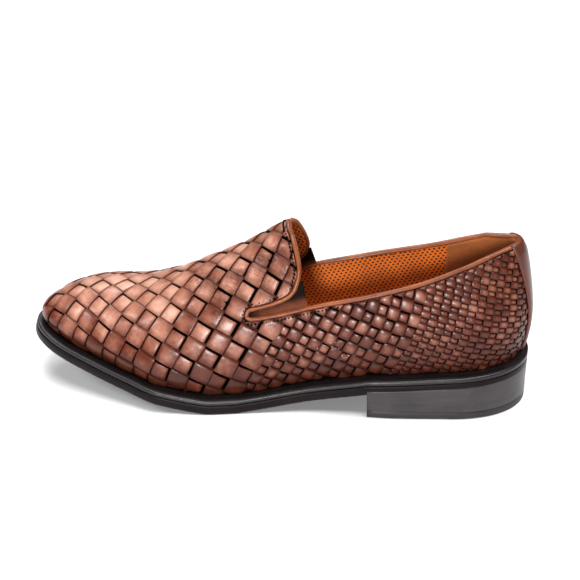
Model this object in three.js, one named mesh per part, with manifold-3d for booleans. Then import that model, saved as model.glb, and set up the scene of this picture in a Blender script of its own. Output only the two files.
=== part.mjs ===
// A left woven slip-on shoe: a hollow woven leather upper on a stitched leather sole.
// Millimetres. +X runs to the toe, +Y to the outer side, +Z up, origin on the floor under the middle.
import * as THREE from "three";
import { mergeVertices } from "three/addons/utils/BufferGeometryUtils.js";
import Module from "manifold-3d";

const wasm = await Module();
wasm.setup();

// Driving dimensions of the sole
const soleLength = 305;
const heelEnd = -soleLength / 2;
const toeEnd = soleLength / 2;
const fit = 0.3; // gap between pieces that touch
const outsoleThickness = 6;
const weltThickness = 2.7;
const soleStack = outsoleThickness + fit + weltThickness;
const insoleThickness = 3;
const heelBreast = -61;
const breastHeight = 15.5; // underside of the outsole above the floor at the breast
const seatSlope = 0.0635; // the seat rises towards the back
const treadFrom = 15.5; // the forefoot stands flat between these two places
const treadTo = 32.4;
const waistBend = 1.145;
const toeSpring = 28.6;
const springBend = 1.2;
const topPieceThickness = 5;
const heelSteps = 12; // places measured along each part of the sole
const waistSteps = 7;
const treadSteps = 2;
const toeSteps = 18;
const weltReach = 16; // the welt runs in under the upper and insole this far

// Driving dimensions of the last
const upperInset = 4.7; // fullest part of the upper inside the sole edge
const heelUpperInset = 0.4;
const featherTuck = 4.5; // the upper draws in again where it meets the welt
const tuckHeight = 0.313;
const toeRoundFrom = 61.4;
const heelRoundFrom = -107.5;
const toeRound = 2.73;
const heelRound = 2.21;
const planRound = 2.17;
const crownRound = 2;
const leanHeight = 70;

// Wall of the upper, as depths below the crest of the weave
const reliefBig = 0.9;
const reliefMid = 0.8;
const reliefFine = 0.65;
const baseDepth = 0.9; // where a strap dives under its neighbour
const strapRoot = 5; // straps are rooted this deep before the inside is hollowed
const backingDepth = 1.5;
const wallDepth = 2.8;

// Weave
const strapWidth = 11.2;
const weaveStart = { x: 65.5, y: 16.5 };
const weaveTurn = 36; // degrees between the flat straps and the length at the start
const midStep = 6.3;
const midShare = 0.64; // breadth of the narrower straps beside those they take over from
const fineShare = 0.5;
const innerShare = 0.58;
const fineStep = 5;
const innerMidStep = 5.6;
const zoneGap = 0.6;

// Binding, elastic and back strip
const beadRadius = 1.15;
const beadGap = 0.65; // the bead stays this far from the cut edge
const notchRadius = 3;
const notchTip = { x: 6.5, outer: 59.3, inner: 62.3 };
const goreThickness = 1.2;
const stripThickness = 1.2;

// Sections of the last from heel (0) to toe (1): half breadth of the sole on each side,
// crown of the last over the feather line, side shift of the ridge, inward lean of the quarters
const sections = [
  { at: 0.0, outer: 35.3, inner: 35.0, crown: 106.5, ridge: 0.0, lean: 0.38 },
  { at: 0.15, outer: 38.9, inner: 35.4, crown: 117.2, ridge: -0.5, lean: 0.37 },
  { at: 0.28, outer: 42.1, inner: 34.0, crown: 114.5, ridge: -0.9, lean: 0.26 },
  { at: 0.4, outer: 40.7, inner: 30.1, crown: 99.3, ridge: -1.9, lean: 0.11 },
  { at: 0.52, outer: 45.1, inner: 33.0, crown: 83.8, ridge: -3.1, lean: 0.03 },
  { at: 0.62, outer: 50.4, inner: 42.0, crown: 68.6, ridge: -3.7, lean: 0.01 },
  { at: 0.7, outer: 51.5, inner: 49.0, crown: 52.7, ridge: -4.0, lean: 0.0 },
  { at: 0.78, outer: 45.6, inner: 52.0, crown: 41.4, ridge: -3.7, lean: 0.0 },
  { at: 0.88, outer: 40.0, inner: 48.0, crown: 36.7, ridge: -2.7, lean: 0.0 },
  { at: 1.0, outer: 38.0, inner: 40.0, crown: 27.3, ridge: 0.0, lean: 0.0 },
];

// Edge of the tab from the top of the throat down to the notch, seen from the side
const tabEdge = [
  { x: -10.3, z: 104.5 },
  { x: -14.5, z: 100.5 },
  { x: -18.1, z: 92.2 },
  { x: -19.9, z: 85.0 },
  { x: -19.2, z: 78.5 },
  { x: -15.8, z: 71.4 },
  { x: -6.5, z: 66.4 },
];
const tabInnerRise = 3; // the inner notch sits this much higher
const tabRiseBelow = 85;
const tabRiseOver = 12;

// Top line of the quarters from the notch to the back
const topLine = [
  { x: -11, outer: 59.8, inner: 64.2 },
  { x: -30, outer: 65.0, inner: 70.6 },
  { x: -60, outer: 72.6, inner: 76.8 },
  { x: -91, outer: 80.7, inner: 84.0 },
  { x: -112, outer: 88.6, inner: 90.3 },
  { x: -130, outer: 95.5, inner: 95.8 },
  { x: -152, outer: 99.0, inner: 99.0 },
];

// Where the binding crosses the throat: across from the ridge, and back from the middle of the throat
const throatCrossing = [
  { across: -6, back: 1.9 },
  { across: 0, back: 0 },
  { across: 6, back: 1 },
];

// Slope of the flat straps along each quarter: distance from the back, degrees down to the heel
const strapSlope = {
  outer: { near: 60, far: 150, nearDegrees: 14, farDegrees: 25 },
  inner: { near: 60, far: 150, nearDegrees: 18, farDegrees: 27 },
};

// Half width of the back strip by height
const backStripWidth = [
  { z: 28, half: 5.5 },
  { z: 45, half: 6.5 },
  { z: 66, half: 9.6 },
  { z: 86, half: 14 },
  { z: 99, half: 17.5 },
];

// Smooth curve through rows of a table, with no overshoot between rows
function smoothThrough(xs, ys) {
  const rise = [];
  for (let i = 0; i + 1 < xs.length; i++) {
    rise.push((ys[i + 1] - ys[i]) / (xs[i + 1] - xs[i]));
  }
  const slopes = xs.map((_, i) => {
    if (i === 0) return rise[0];
    if (i === xs.length - 1) return rise[i - 1];
    if (rise[i - 1] * rise[i] <= 0) return 0;
    const before = xs[i] - xs[i - 1];
    const after = xs[i + 1] - xs[i];
    const weightBefore = 2 * after + before;
    const weightAfter = after + 2 * before;
    return (weightBefore + weightAfter) / (weightBefore / rise[i - 1] + weightAfter / rise[i]);
  });
  return (x) => {
    let i = 0;
    while (i < xs.length - 2 && x > xs[i + 1]) i++;
    const span = xs[i + 1] - xs[i];
    const u = THREE.MathUtils.clamp((x - xs[i]) / span, 0, 1);
    const v = 1 - u;
    const start = (1 + 2 * u) * v * v * ys[i] + u * v * v * span * slopes[i];
    const end = u * u * (3 - 2 * u) * ys[i + 1] - u * u * v * span * slopes[i + 1];
    return start + end;
  };
}

const places = sections.map((row) => heelEnd + row.at * soleLength);
const outerAt = smoothThrough(places, sections.map((row) => row.outer));
const innerAt = smoothThrough(places, sections.map((row) => row.inner));
const crownAt = smoothThrough(places, sections.map((row) => row.crown));
const ridgeAt = smoothThrough(places, sections.map((row) => row.ridge));
const leanAt = smoothThrough(places, sections.map((row) => row.lean));

// Underside of the outsole: seat on the heel, waist, flat tread, toe spring
function soleBottom(x) {
  if (x < heelBreast) return breastHeight + seatSlope * (heelBreast - x);
  const waist = THREE.MathUtils.clamp((x - heelBreast) / (treadFrom - heelBreast), 0, 1);
  const spring = Math.max(0, (x - treadTo) / (toeEnd - treadTo));
  return breastHeight * (1 - waist) ** waistBend + toeSpring * spring ** springBend;
}

function soleTop(x) {
  return soleBottom(x) + soleStack;
}

// Signed field of the last: zero on the crest of the upper, negative inside
function lastField(x, y, z) {
  const up = Math.max(0, z - soleTop(x));
  const height = up / crownAt(x);
  const tuck = featherTuck * Math.max(0, 1 - height / tuckHeight) ** 2;
  const toe = Math.max(0, x - toeRoundFrom) / (toeEnd - upperInset - tuck - toeRoundFrom);
  const heel = Math.max(0, heelRoundFrom - x) / (heelRoundFrom - heelEnd - heelUpperInset - tuck);
  const ridge = ridgeAt(x);
  const side = y >= ridge ? 1 : -1;
  const half = (side > 0 ? outerAt(x) : innerAt(x)) - upperInset - tuck - side * ridge;
  const leaned = half * (1 - leanAt(x) * Math.min(1.2, up / leanHeight) ** 2);
  const across = Math.abs(y - ridge) / leaned;
  return toe ** toeRound + heel ** heelRound + across ** planRound + height ** crownRound - 1;
}

function fieldAt(p) {
  return lastField(p.x, p.y, p.z);
}

function gradientAt(p) {
  const e = 0.05;
  const gx = lastField(p.x + e, p.y, p.z) - lastField(p.x - e, p.y, p.z);
  const gy = lastField(p.x, p.y + e, p.z) - lastField(p.x, p.y - e, p.z);
  const gz = lastField(p.x, p.y, p.z + e) - lastField(p.x, p.y, p.z - e);
  return new THREE.Vector3(gx, gy, gz).divideScalar(2 * e);
}

function normalAt(p) {
  return gradientAt(p).normalize();
}

// Nearest point of the crest surface
function landOnLast(p) {
  const q = p.clone();
  for (let k = 0; k < 6; k++) {
    const g = gradientAt(q);
    q.addScaledVector(g, -fieldAt(q) / g.lengthSq());
  }
  return q;
}

function sunk(p, depth) {
  return p.clone().addScaledVector(normalAt(p), -depth);
}

// Root of a function that changes sign once between two values
function crossing(f, low, high) {
  const lowSign = Math.sign(f(low));
  if (Math.sign(f(high)) === lowSign) return null;
  let a = low;
  let b = high;
  for (let k = 0; k < 40; k++) {
    const mid = (a + b) / 2;
    if (Math.sign(f(mid)) === lowSign) a = mid;
    else b = mid;
  }
  return (a + b) / 2;
}

// Height of the crest surface over a place in plan
function topOver(x, y) {
  return crossing((z) => lastField(x, y, z), soleTop(x), soleTop(x) + 160);
}

// Columns round the quarters: a level contour of the last, from the outer side round the heel to the
// inner side, measured from the middle of the back
function traceContour(side) {
  const level = 30;
  const reach = 190;
  const backX = crossing((x) => lastField(x, 0, soleTop(x) + level), heelEnd - 5, heelRoundFrom);
  const start = new THREE.Vector3(backX, 0, 0);
  const steps = [];
  const p = start.clone();
  const along = new THREE.Vector3(0, side, 0);
  for (let s = 0; s <= reach; s++) {
    const z = soleTop(p.x) + level;
    const g = gradientAt(new THREE.Vector3(p.x, p.y, z));
    const out = new THREE.Vector3(g.x, g.y, 0).normalize();
    steps.push({ p: p.clone(), out });
    const tangent = new THREE.Vector3(-out.y, out.x, 0);
    if (tangent.dot(along) < 0) tangent.negate();
    along.copy(tangent);
    p.add(tangent);
    const ahead = (d) => lastField(p.x + out.x * d, p.y + out.y * d, soleTop(p.x) + level);
    p.addScaledVector(out, crossing(ahead, -6, 6) ?? 0);
  }
  return steps;
}

const contours = { outer: traceContour(1), inner: traceContour(-1) };

// Point of the crest surface at a distance round from the back and a height; null above the last
function quarterPoint(distance, z) {
  const steps = distance >= 0 ? contours.outer : contours.inner;
  const s = THREE.MathUtils.clamp(Math.abs(distance), 0, steps.length - 1.001);
  const i = Math.floor(s);
  const p = steps[i].p.clone().lerp(steps[i + 1].p, s - i);
  const out = steps[i].out.clone().lerp(steps[i + 1].out, s - i).normalize();
  const offset = crossing((d) => lastField(p.x + out.x * d, p.y + out.y * d, z), -45, 14);
  if (offset === null) return null;
  return new THREE.Vector3(p.x + out.x * offset, p.y + out.y * offset, z);
}

// Distance round from the back of a point of the surface
function distanceOf(point, side) {
  const steps = side > 0 ? contours.outer : contours.inner;
  let best = 0;
  let least = Infinity;
  steps.forEach((step, s) => {
    const dx = point.x - step.p.x;
    const dy = point.y - step.p.y;
    const off = Math.abs(dx * step.out.y - dy * step.out.x);
    if (off < least && dx * step.out.x + dy * step.out.y > -45) {
      least = off;
      best = s;
    }
  });
  return side * best;
}

// Straight way over the surface from a point: a strap follows it
function geodesic(start, direction, step, count) {
  const pieces = 6;
  const points = [start];
  let p = start;
  const d = direction.clone();
  for (let k = 0; k < count; k++) {
    for (let part = 0; part < pieces; part++) {
      const q = landOnLast(p.clone().addScaledVector(d, step / pieces));
      d.subVectors(q, p);
      const n = normalAt(q);
      d.addScaledVector(n, -d.dot(n)).normalize();
      p = q;
    }
    points.push(p);
  }
  return points;
}

// Fourth corner of a weave cell, one strap width from corners a and b, away from the old corner
function cellCorner(a, b, old, width) {
  const middle = a.clone().add(b).multiplyScalar(0.5);
  const axis = b.clone().sub(a);
  const half = axis.length() / 2;
  if (half > width * 0.999) return null;
  axis.normalize();
  const radius = Math.sqrt(width * width - half * half);
  const away = middle.clone().sub(old);
  away.addScaledVector(axis, -away.dot(axis)).normalize();
  const lift = new THREE.Vector3().crossVectors(axis, away);
  const at = (angle) => {
    const p = middle.clone().addScaledVector(away, radius * Math.cos(angle));
    return p.addScaledVector(lift, radius * Math.sin(angle));
  };
  const tries = 26;
  const widest = 1.3;
  let best = null;
  for (let k = 0; k < tries; k++) {
    const low = widest * (-1 + (2 * k) / tries);
    const high = widest * (-1 + (2 * (k + 1)) / tries);
    const root = crossing((angle) => fieldAt(at(angle)), low, high);
    if (root !== null && (best === null || Math.abs(root) < Math.abs(best))) best = root;
  }
  return best === null ? null : at(best);
}

// Woven net over the vamp and toe: i counts flat straps' cells to the heel, j steep ones downwards
const vampCells = { iFrom: -11, iTo: 7, jFrom: -8, jTo: 10 };
function vampNet() {
  const start = new THREE.Vector3(weaveStart.x, weaveStart.y, topOver(weaveStart.x, weaveStart.y));
  const n = normalAt(start);
  const back = new THREE.Vector3(-1, 0, 0);
  back.addScaledVector(n, -back.dot(n)).normalize();
  const down = new THREE.Vector3().crossVectors(back, n);
  if (down.z > 0) down.negate();
  const turn = THREE.MathUtils.degToRad(weaveTurn);
  const flat = back.clone().multiplyScalar(Math.cos(turn)).addScaledVector(down, Math.sin(turn));
  const steep = back.clone().multiplyScalar(-Math.sin(turn)).addScaledVector(down, Math.cos(turn));
  const net = new Map();
  const key = (i, j) => `${i},${j}`;
  const { iFrom, iTo, jFrom, jTo } = vampCells;
  geodesic(start, flat, strapWidth, iTo).forEach((p, k) => net.set(key(k, 0), p));
  geodesic(start, flat.clone().negate(), strapWidth, -iFrom).forEach((p, k) => net.set(key(-k, 0), p));
  geodesic(start, steep, strapWidth, jTo).forEach((p, k) => net.set(key(0, k), p));
  geodesic(start, steep.clone().negate(), strapWidth, -jFrom).forEach((p, k) => net.set(key(0, -k), p));
  const lowest = -14;
  const tooLow = (p) => p.z < soleTop(p.x) + lowest;
  for (const si of [1, -1]) {
    for (const sj of [1, -1]) {
      for (let i = 1; i <= (si > 0 ? iTo : -iFrom); i++) {
        for (let j = 1; j <= (sj > 0 ? jTo : -jFrom); j++) {
          const a = net.get(key(si * (i - 1), sj * j));
          const b = net.get(key(si * i, sj * (j - 1)));
          const old = net.get(key(si * (i - 1), sj * (j - 1)));
          if (!a || !b || !old || tooLow(a) || tooLow(b)) continue;
          const corner = cellCorner(a, b, old, strapWidth);
          if (corner) net.set(key(si * i, sj * j), corner);
        }
      }
    }
  }
  return net;
}

// Table of lattice rows from the net: one row for each i, one column for each j
function vampLattice(net) {
  const rows = [];
  for (let i = vampCells.iFrom; i <= vampCells.iTo; i++) {
    const row = [];
    for (let j = vampCells.jFrom; j <= vampCells.jTo; j++) row.push(net.get(`${i},${j}`) ?? null);
    rows.push(row);
  }
  return rows;
}

function heightOfTopLine(x, side) {
  const rows = topLine.slice().reverse();
  const name = side > 0 ? "outer" : "inner";
  return smoothThrough(rows.map((row) => row.x), rows.map((row) => row[name]))(x);
}

// Starts of the flat straps where the vamp's weave ends on one side, from low to high, carried on
// upwards past the throat
function strapStarts(net, side) {
  const ends = [];
  if (side > 0) {
    for (let j = vampCells.jTo; j >= vampCells.jFrom; j--) ends.push(net.get(`${vampCells.iTo},${j}`));
  } else {
    for (let i = vampCells.iFrom; i <= vampCells.iTo; i++) ends.push(net.get(`${i},${vampCells.jFrom}`));
  }
  const low = -8;
  const starts = [];
  for (const p of ends) {
    if (!p || p.z < soleTop(p.x) + low) continue;
    if (side * (p.y - ridgeAt(p.x)) < 5) continue;
    starts.push({ s: Math.abs(distanceOf(p, side)), z: p.z });
  }
  const extra = 6;
  const first = starts[0];
  const last = starts[starts.length - 1];
  const rise = (last.z - first.z) / (starts.length - 1);
  const run = (last.s - first.s) / (starts.length - 1);
  for (let k = 1; k <= extra; k++) starts.push({ s: last.s + k * run, z: last.z + k * rise });
  return starts;
}

// Strap ends along the same line, set closer by a share of their spacing
function closer(starts, share) {
  const last = starts.length - 1;
  return spread(0, Math.floor(last / share), Math.floor(last / share)).map((count) => {
    const from = Math.min(Math.floor(count * share), last - 1);
    const part = count * share - from;
    const [a, b] = [starts[from], starts[from + 1]];
    return { s: a.s + (b.s - a.s) * part, z: a.z + (b.z - a.z) * part };
  });
}

// One step of a flat strap towards the heel
function strapStep(at, step, slope) {
  const share = THREE.MathUtils.clamp((at.s - slope.near) / (slope.far - slope.near), 0, 1);
  const angle = THREE.MathUtils.degToRad(THREE.MathUtils.lerp(slope.nearDegrees, slope.farDegrees, share));
  return { s: at.s - step * Math.cos(angle), z: at.z - step * Math.sin(angle) };
}

// Lattice of a quarter zone: rows step to the heel, columns climb the steep straps
function quarterLattice(side, starts, step, count, slope) {
  const lowest = -5;
  const above = 7;
  const nearBack = 2.5;
  let line = starts.map((at) => ({ s: at.s - zoneGap, z: at.z }));
  const rows = [];
  let lastLine = line;
  for (let k = 0; k <= count; k++) {
    rows.push(line.map((at) => {
      if (at.s < nearBack) return null;
      const p = quarterPoint(side * at.s, at.z);
      if (!p || p.z < soleTop(p.x) + lowest) return null;
      return p.z > heightOfTopLine(p.x, side) + above ? null : p;
    }));
    lastLine = line;
    line = line.map((at) => strapStep(at, step, slope));
  }
  return { rows, ends: lastLine };
}

// Closed mesh from a list of points and faces of three or four corners
function solidOf(points, faces) {
  const vertProperties = new Float32Array(points.flatMap((p) => [p.x, p.y, p.z]));
  const triangles = [];
  for (const face of faces) {
    for (let k = 2; k < face.length; k++) triangles.push(face[0], face[k - 1], face[k]);
  }
  const triVerts = new Uint32Array(triangles);
  const solid = new wasm.Manifold(new wasm.Mesh({ numProp: 3, vertProperties, triVerts }));
  return solid.volume() < 0 ? solidOf(points, faces.map((face) => face.slice().reverse())) : solid;
}

// Cells of a lattice that have four corners, with no two that meet only at a corner
function wholeCells(rows) {
  const cell = rows.slice(1).map((row, i) => row.slice(1).map((p, j) =>
    Boolean(p && row[j] && rows[i][j] && rows[i][j + 1])));
  let changed = true;
  while (changed) {
    changed = false;
    for (let i = 0; i + 1 < cell.length; i++) {
      for (let j = 0; j + 1 < cell[i].length; j++) {
        const [a, b] = [cell[i][j], cell[i + 1][j + 1]];
        const [c, d] = [cell[i + 1][j], cell[i][j + 1]];
        if (a && b && !c && !d) {
          cell[i][j] = false;
          changed = true;
        }
        if (c && d && !a && !b) {
          cell[i + 1][j] = false;
          changed = true;
        }
      }
    }
  }
  return cell;
}

// Raised straps over a lattice: each cell's upper strap is high in its middle and dives at both ends
function wovenSheet(rows, relief, parity) {
  const cell = wholeCells(rows);
  const points = [];
  const faces = [];
  const low = new Map();
  const add = (p) => points.push(p) - 1;
  const node = (i, j) => {
    const name = `${i},${j}`;
    if (!low.has(name)) {
      const p = rows[i][j];
      low.set(name, { top: add(sunk(p, baseDepth)), under: add(sunk(p, strapRoot)) });
    }
    return low.get(name);
  };
  const isCell = (i, j) => Boolean(cell[i]?.[j]);
  const crest = (a, b) => add(sunk(landOnLast(a.clone().lerp(b, 0.5)), baseDepth - relief));
  for (let i = 0; i < cell.length; i++) {
    for (let j = 0; j < cell[i].length; j++) {
      if (!cell[i][j]) continue;
      const turned = (i + j + parity) % 2 === 0;
      const ring = [[i, j], [i + 1, j], [i + 1, j + 1], [i, j + 1]];
      if (turned) ring.push(ring.shift());
      const [a, b, c, d] = ring.map(([u, v]) => node(u, v));
      const [pa, pb, pc, pd] = ring.map(([u, v]) => rows[u][v]);
      const nearCrest = crest(pa, pb);
      const farCrest = crest(pd, pc);
      faces.push([a.top, nearCrest, farCrest, d.top]);
      faces.push([nearCrest, b.top, c.top, farCrest]);
      faces.push([a.top, b.top, nearCrest]);
      faces.push([c.top, d.top, farCrest]);
      faces.push([d.under, c.under, b.under, a.under]);
      const edges = [
        [i, j, i + 1, j, i, j - 1],
        [i + 1, j, i + 1, j + 1, i + 1, j],
        [i + 1, j + 1, i, j + 1, i, j + 1],
        [i, j + 1, i, j, i - 1, j],
      ];
      for (const [u0, v0, u1, v1, nextI, nextJ] of edges) {
        if (isCell(nextI, nextJ)) continue;
        const from = node(u0, v0);
        const to = node(u1, v1);
        faces.push([to.top, from.top, from.under, to.under]);
      }
    }
  }
  return solidOf(points, faces);
}

// Closed solid of the last at a depth below the crest: rays from a spine along the foot, carried down
// to a flat bottom
function domeSolid(depth, bottom) {
  const spine = { from: -104, to: 96, steps: 18, above: 2 };
  const fan = 10;
  const climb = 8;
  const columns = [];
  const xs = spread(spine.from, spine.to, spine.steps);
  xs.forEach((x, k) => columns.push({ x, turn: Math.PI / 2, top: k }));
  spread(Math.PI / 2, -Math.PI / 2, fan).slice(1, fan)
    .forEach((turn) => columns.push({ x: spine.to, turn, top: spine.steps }));
  xs.slice().reverse().forEach((x, k) => columns.push({ x, turn: -Math.PI / 2, top: spine.steps - k }));
  spread(-Math.PI / 2, -1.5 * Math.PI, fan).slice(1, fan)
    .forEach((turn) => columns.push({ x: spine.from, turn, top: 0 }));
  const along = (x, turn, lift) => {
    const start = new THREE.Vector3(x, ridgeAt(x), soleTop(x) + spine.above);
    const level = Math.cos(lift);
    const ray = new THREE.Vector3(Math.cos(turn) * level, Math.sin(turn) * level, Math.sin(lift));
    const reach = crossing((d) => fieldAt(start.clone().addScaledVector(ray, d)), 0, 160);
    return sunk(start.addScaledVector(ray, reach), depth);
  };
  const points = [];
  const wide = columns.length;
  for (let r = 0; r < climb; r++) {
    const lift = ((Math.PI / 2) * r) / climb;
    columns.forEach(({ x, turn }) => points.push(along(x, turn, lift)));
  }
  const tops = xs.map((x) => points.push(along(x, 0, Math.PI / 2)) - 1);
  const foot = columns.map((_, k) => points.push(points[k].clone().setZ(bottom)) - 1);
  const heart = points.push(new THREE.Vector3(0, 0, bottom)) - 1;
  const faces = [];
  columns.forEach((column, k) => {
    const next = (k + 1) % wide;
    for (let r = 0; r + 1 < climb; r++) {
      faces.push([r * wide + k, r * wide + next, (r + 1) * wide + next, (r + 1) * wide + k]);
    }
    const last = (climb - 1) * wide;
    const peak = [tops[columns[next].top], tops[column.top]];
    faces.push([last + k, last + next, ...new Set(peak)]);
    faces.push([foot[k], foot[next], next, k]);
    faces.push([foot[next], foot[k], heart]);
  });
  return solidOf(points, faces);
}

// Breadth of the crest surface at a place and height, on one side of the ridge
function halfPoint(x, z, side, middle) {
  const out = crossing((d) => lastField(x, middle + side * d, z), 0, 70);
  return middle + side * (out ?? 0);
}

// Solid through a row of sections with the same number of points, closed at both ends
function loftedSolid(rows) {
  const wide = rows[0].length;
  const points = rows.flat();
  const faces = [];
  for (let r = 0; r + 1 < rows.length; r++) {
    for (let k = 0; k < wide; k++) {
      const next = (k + 1) % wide;
      faces.push([r * wide + k, (r + 1) * wide + k, (r + 1) * wide + next, r * wide + next]);
    }
  }
  const first = rows[0].map((_, k) => k);
  const last = rows[0].map((_, k) => (rows.length - 1) * wide + k).reverse();
  return solidOf(points, [...faces, ...fanPairs(first), ...fanPairs(last)]);
}

// Faces across a closed section whose points run up one side and down the other
function fanPairs(ring) {
  const faces = [];
  for (let a = 0, b = ring.length - 1; b - a > 1; ) {
    faces.push([ring[a], ring[a + 1], ring[b]]);
    a += 1;
    if (b - a > 1) {
      faces.push([ring[a], ring[b - 1], ring[b]]);
      b -= 1;
    }
  }
  return faces;
}

// Ring-shaped solid: loops of equal length, each joined to the next and the last to the first
function ringSolid(loops) {
  const count = loops[0].length;
  const faces = [];
  for (let r = 0; r < loops.length; r++) {
    const s = (r + 1) % loops.length;
    for (let k = 0; k < count; k++) {
      const next = (k + 1) % count;
      faces.push([r * count + k, r * count + next, s * count + next, s * count + k]);
    }
  }
  return solidOf(loops.flat(), faces);
}

// Half breadth in plan at a place, inside the sole edge by an inset
function planHalf(x, side, inset) {
  const heelInset = Math.max(0, inset - (upperInset - heelUpperInset));
  const toe = Math.max(0, x - toeRoundFrom) / (toeEnd - inset - toeRoundFrom);
  const heel = Math.max(0, heelRoundFrom - x) / (heelRoundFrom - heelEnd - heelInset);
  const room = Math.max(0, 1 - toe ** toeRound - heel ** heelRound);
  return ((side > 0 ? outerAt(x) : innerAt(x)) - inset) * room ** (1 / planRound);
}

// Places along the heel seat, closer together at the rounded back
function heelStations(inset) {
  const heelInset = Math.max(0, inset - (upperInset - heelUpperInset));
  const from = heelEnd + heelInset + 0.06;
  return spread(0, Math.PI / 2, heelSteps).map((turn) => from + (heelBreast - from) * (1 - Math.cos(turn)));
}

// Places along the sole with one at each bend of its underside, closer together at the rounded ends
function soleStations(inset) {
  const to = toeEnd - inset - 0.06;
  const waist = spread(heelBreast, treadFrom, waistSteps).slice(1);
  const tread = spread(treadFrom, treadTo, treadSteps).slice(1);
  const turns = spread(0, Math.PI / 2, toeSteps).slice(1);
  const toe = turns.map((turn) => treadTo + (to - treadTo) * Math.sin(turn));
  return [...heelStations(inset), ...waist, ...tread, ...toe];
}

// Point at a height over the underside of the sole, measured square to the toe spring
function overSole(x, y, lift) {
  const e = 0.5;
  const rise = x > treadTo ? (soleBottom(x + e) - soleBottom(x - e)) / (2 * e) : 0;
  const slant = Math.atan(rise);
  return new THREE.Vector3(x - lift * Math.sin(slant), y, soleBottom(x) + lift * Math.cos(slant));
}

// Plate that follows the sole: rings of inset and height, from the bottom up
function solePlate(rings) {
  const rows = [];
  const all = rings.map((ring) => soleStations(ring.inset));
  for (let k = 0; k < all[0].length; k++) {
    const edge = (side) => rings.map(({ inset, lift }, r) => {
      const x = all[r][k];
      return overSole(x, side * planHalf(x, side, inset), lift);
    });
    rows.push([...edge(1), ...edge(-1).reverse()]);
  }
  return loftedSolid(rows);
}

// Closed loop round the sole at an inset and height
function soleLoop(inset, lift) {
  const xs = soleStations(inset);
  const outer = xs.map((x) => overSole(x, planHalf(x, 1, inset), lift));
  const inner = xs.map((x) => overSole(x, -planHalf(x, -1, inset), lift));
  return [...outer, ...inner.reverse()];
}

// Piece of the heel: rings of inset and height, from the back to the breast
function heelPlate(rings) {
  const rows = [];
  const all = rings.map((ring) => heelStations(ring.inset));
  for (let k = 0; k <= heelSteps; k++) {
    const outer = rings.map((ring, r) => {
      const x = all[r][k];
      return new THREE.Vector3(x, planHalf(x, 1, ring.inset), ring.z(x));
    });
    const inner = rings.map((ring, r) => {
      const x = all[r][k];
      return new THREE.Vector3(x, -planHalf(x, -1, ring.inset), ring.z(x));
    });
    rows.push([...outer, ...inner.reverse()]);
  }
  return loftedSolid(rows);
}

// Edge of the opening on one side, seen from the side, from the throat to the back
function openingEdge(side) {
  const name = side > 0 ? "outer" : "inner";
  const raise = (z) => {
    if (side > 0 || z > tabRiseBelow) return 0;
    return tabInnerRise * Math.min(1, (tabRiseBelow - z) / tabRiseOver);
  };
  const tip = new THREE.Vector2(notchTip.x, notchTip[name]);
  const turn = [70, 0, -70].map((degrees) => {
    const angle = THREE.MathUtils.degToRad(degrees);
    return new THREE.Vector2(tip.x + notchRadius * Math.cos(angle), tip.y + notchRadius * Math.sin(angle));
  });
  const tab = tabEdge.map((row) => new THREE.Vector2(row.x, row.z + raise(row.z)));
  const quarter = topLine.map((row) => new THREE.Vector2(row.x, row[name]));
  return new THREE.SplineCurve([...tab, ...turn, ...quarter]);
}

// Solid that cuts the opening on one side
function openingCutter(side) {
  const far = 100;
  const high = 170;
  const beyond = heelEnd - 20;
  const middle = ridgeAt(tabEdge[0].x);
  const edge = openingEdge(side).getSpacedPoints(72);
  const shape = new THREE.Shape([
    ...edge,
    new THREE.Vector2(beyond, edge[edge.length - 1].y),
    new THREE.Vector2(beyond, high),
    new THREE.Vector2(edge[0].x, high),
  ]);
  const depth = side > 0 ? far - middle : far + middle;
  const cutter = new THREE.ExtrudeGeometry(shape, { depth, bevelEnabled: false });
  cutter.rotateX(Math.PI / 2);
  cutter.translate(0, side > 0 ? far : middle, 0);
  return solidOfGeometry(cutter);
}

function solidOfGeometry(geometry) {
  geometry.deleteAttribute("normal");
  geometry.deleteAttribute("uv");
  const merged = mergeVertices(geometry, 1e-4);
  const vertProperties = new Float32Array(merged.attributes.position.array);
  const triVerts = new Uint32Array(merged.index.array);
  return new wasm.Manifold(new wasm.Mesh({ numProp: 3, vertProperties, triVerts }));
}

// Patch of wall between two depths over a field of distance round the back and height
function wallPatch(distances, heightsAt, shallow, deep) {
  const rows = distances.map((s) => heightsAt(s).map((z) => quarterPoint(s, z)));
  const wide = rows[0].length;
  const points = [
    ...rows.flat().map((p) => sunk(p, shallow)),
    ...rows.flat().map((p) => sunk(p, deep)),
  ];
  const under = rows.length * wide;
  const faces = [];
  for (let r = 0; r + 1 < rows.length; r++) {
    for (let k = 0; k + 1 < wide; k++) {
      const ring = [r * wide + k, (r + 1) * wide + k, (r + 1) * wide + k + 1, r * wide + k + 1];
      faces.push(ring);
      faces.push(ring.map((id) => id + under).reverse());
    }
  }
  const border = [];
  for (let k = 0; k + 1 < wide; k++) border.push(k);
  for (let r = 0; r + 1 < rows.length; r++) border.push(r * wide + wide - 1);
  for (let k = wide - 1; k > 0; k--) border.push((rows.length - 1) * wide + k);
  for (let r = rows.length - 1; r > 0; r--) border.push(r * wide);
  border.forEach((id, k) => {
    const next = border[(k + 1) % border.length];
    faces.push([id, next, next + under, id + under]);
  });
  return solidOf(points, faces);
}

function spread(from, to, count) {
  return Array.from({ length: count + 1 }, (_, k) => from + ((to - from) * k) / count);
}

// The one body of a solid that has the most material
function largestBody(solid) {
  return solid.decompose().reduce((best, body) => (body.volume() > best.volume() ? body : best));
}

// Everything below the top of the welt
function belowWelt() {
  const wide = 80;
  const deep = -60;
  const lift = soleStack + fit;
  const places = [heelEnd - 20, ...soleStations(0), toeEnd + 20];
  const rows = places.map((x) => {
    const outer = overSole(x, wide, lift);
    const inner = overSole(x, -wide, lift);
    return [new THREE.Vector3(outer.x, wide, deep), outer, inner, new THREE.Vector3(inner.x, -wide, deep)];
  });
  return loftedSolid(rows);
}

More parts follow.
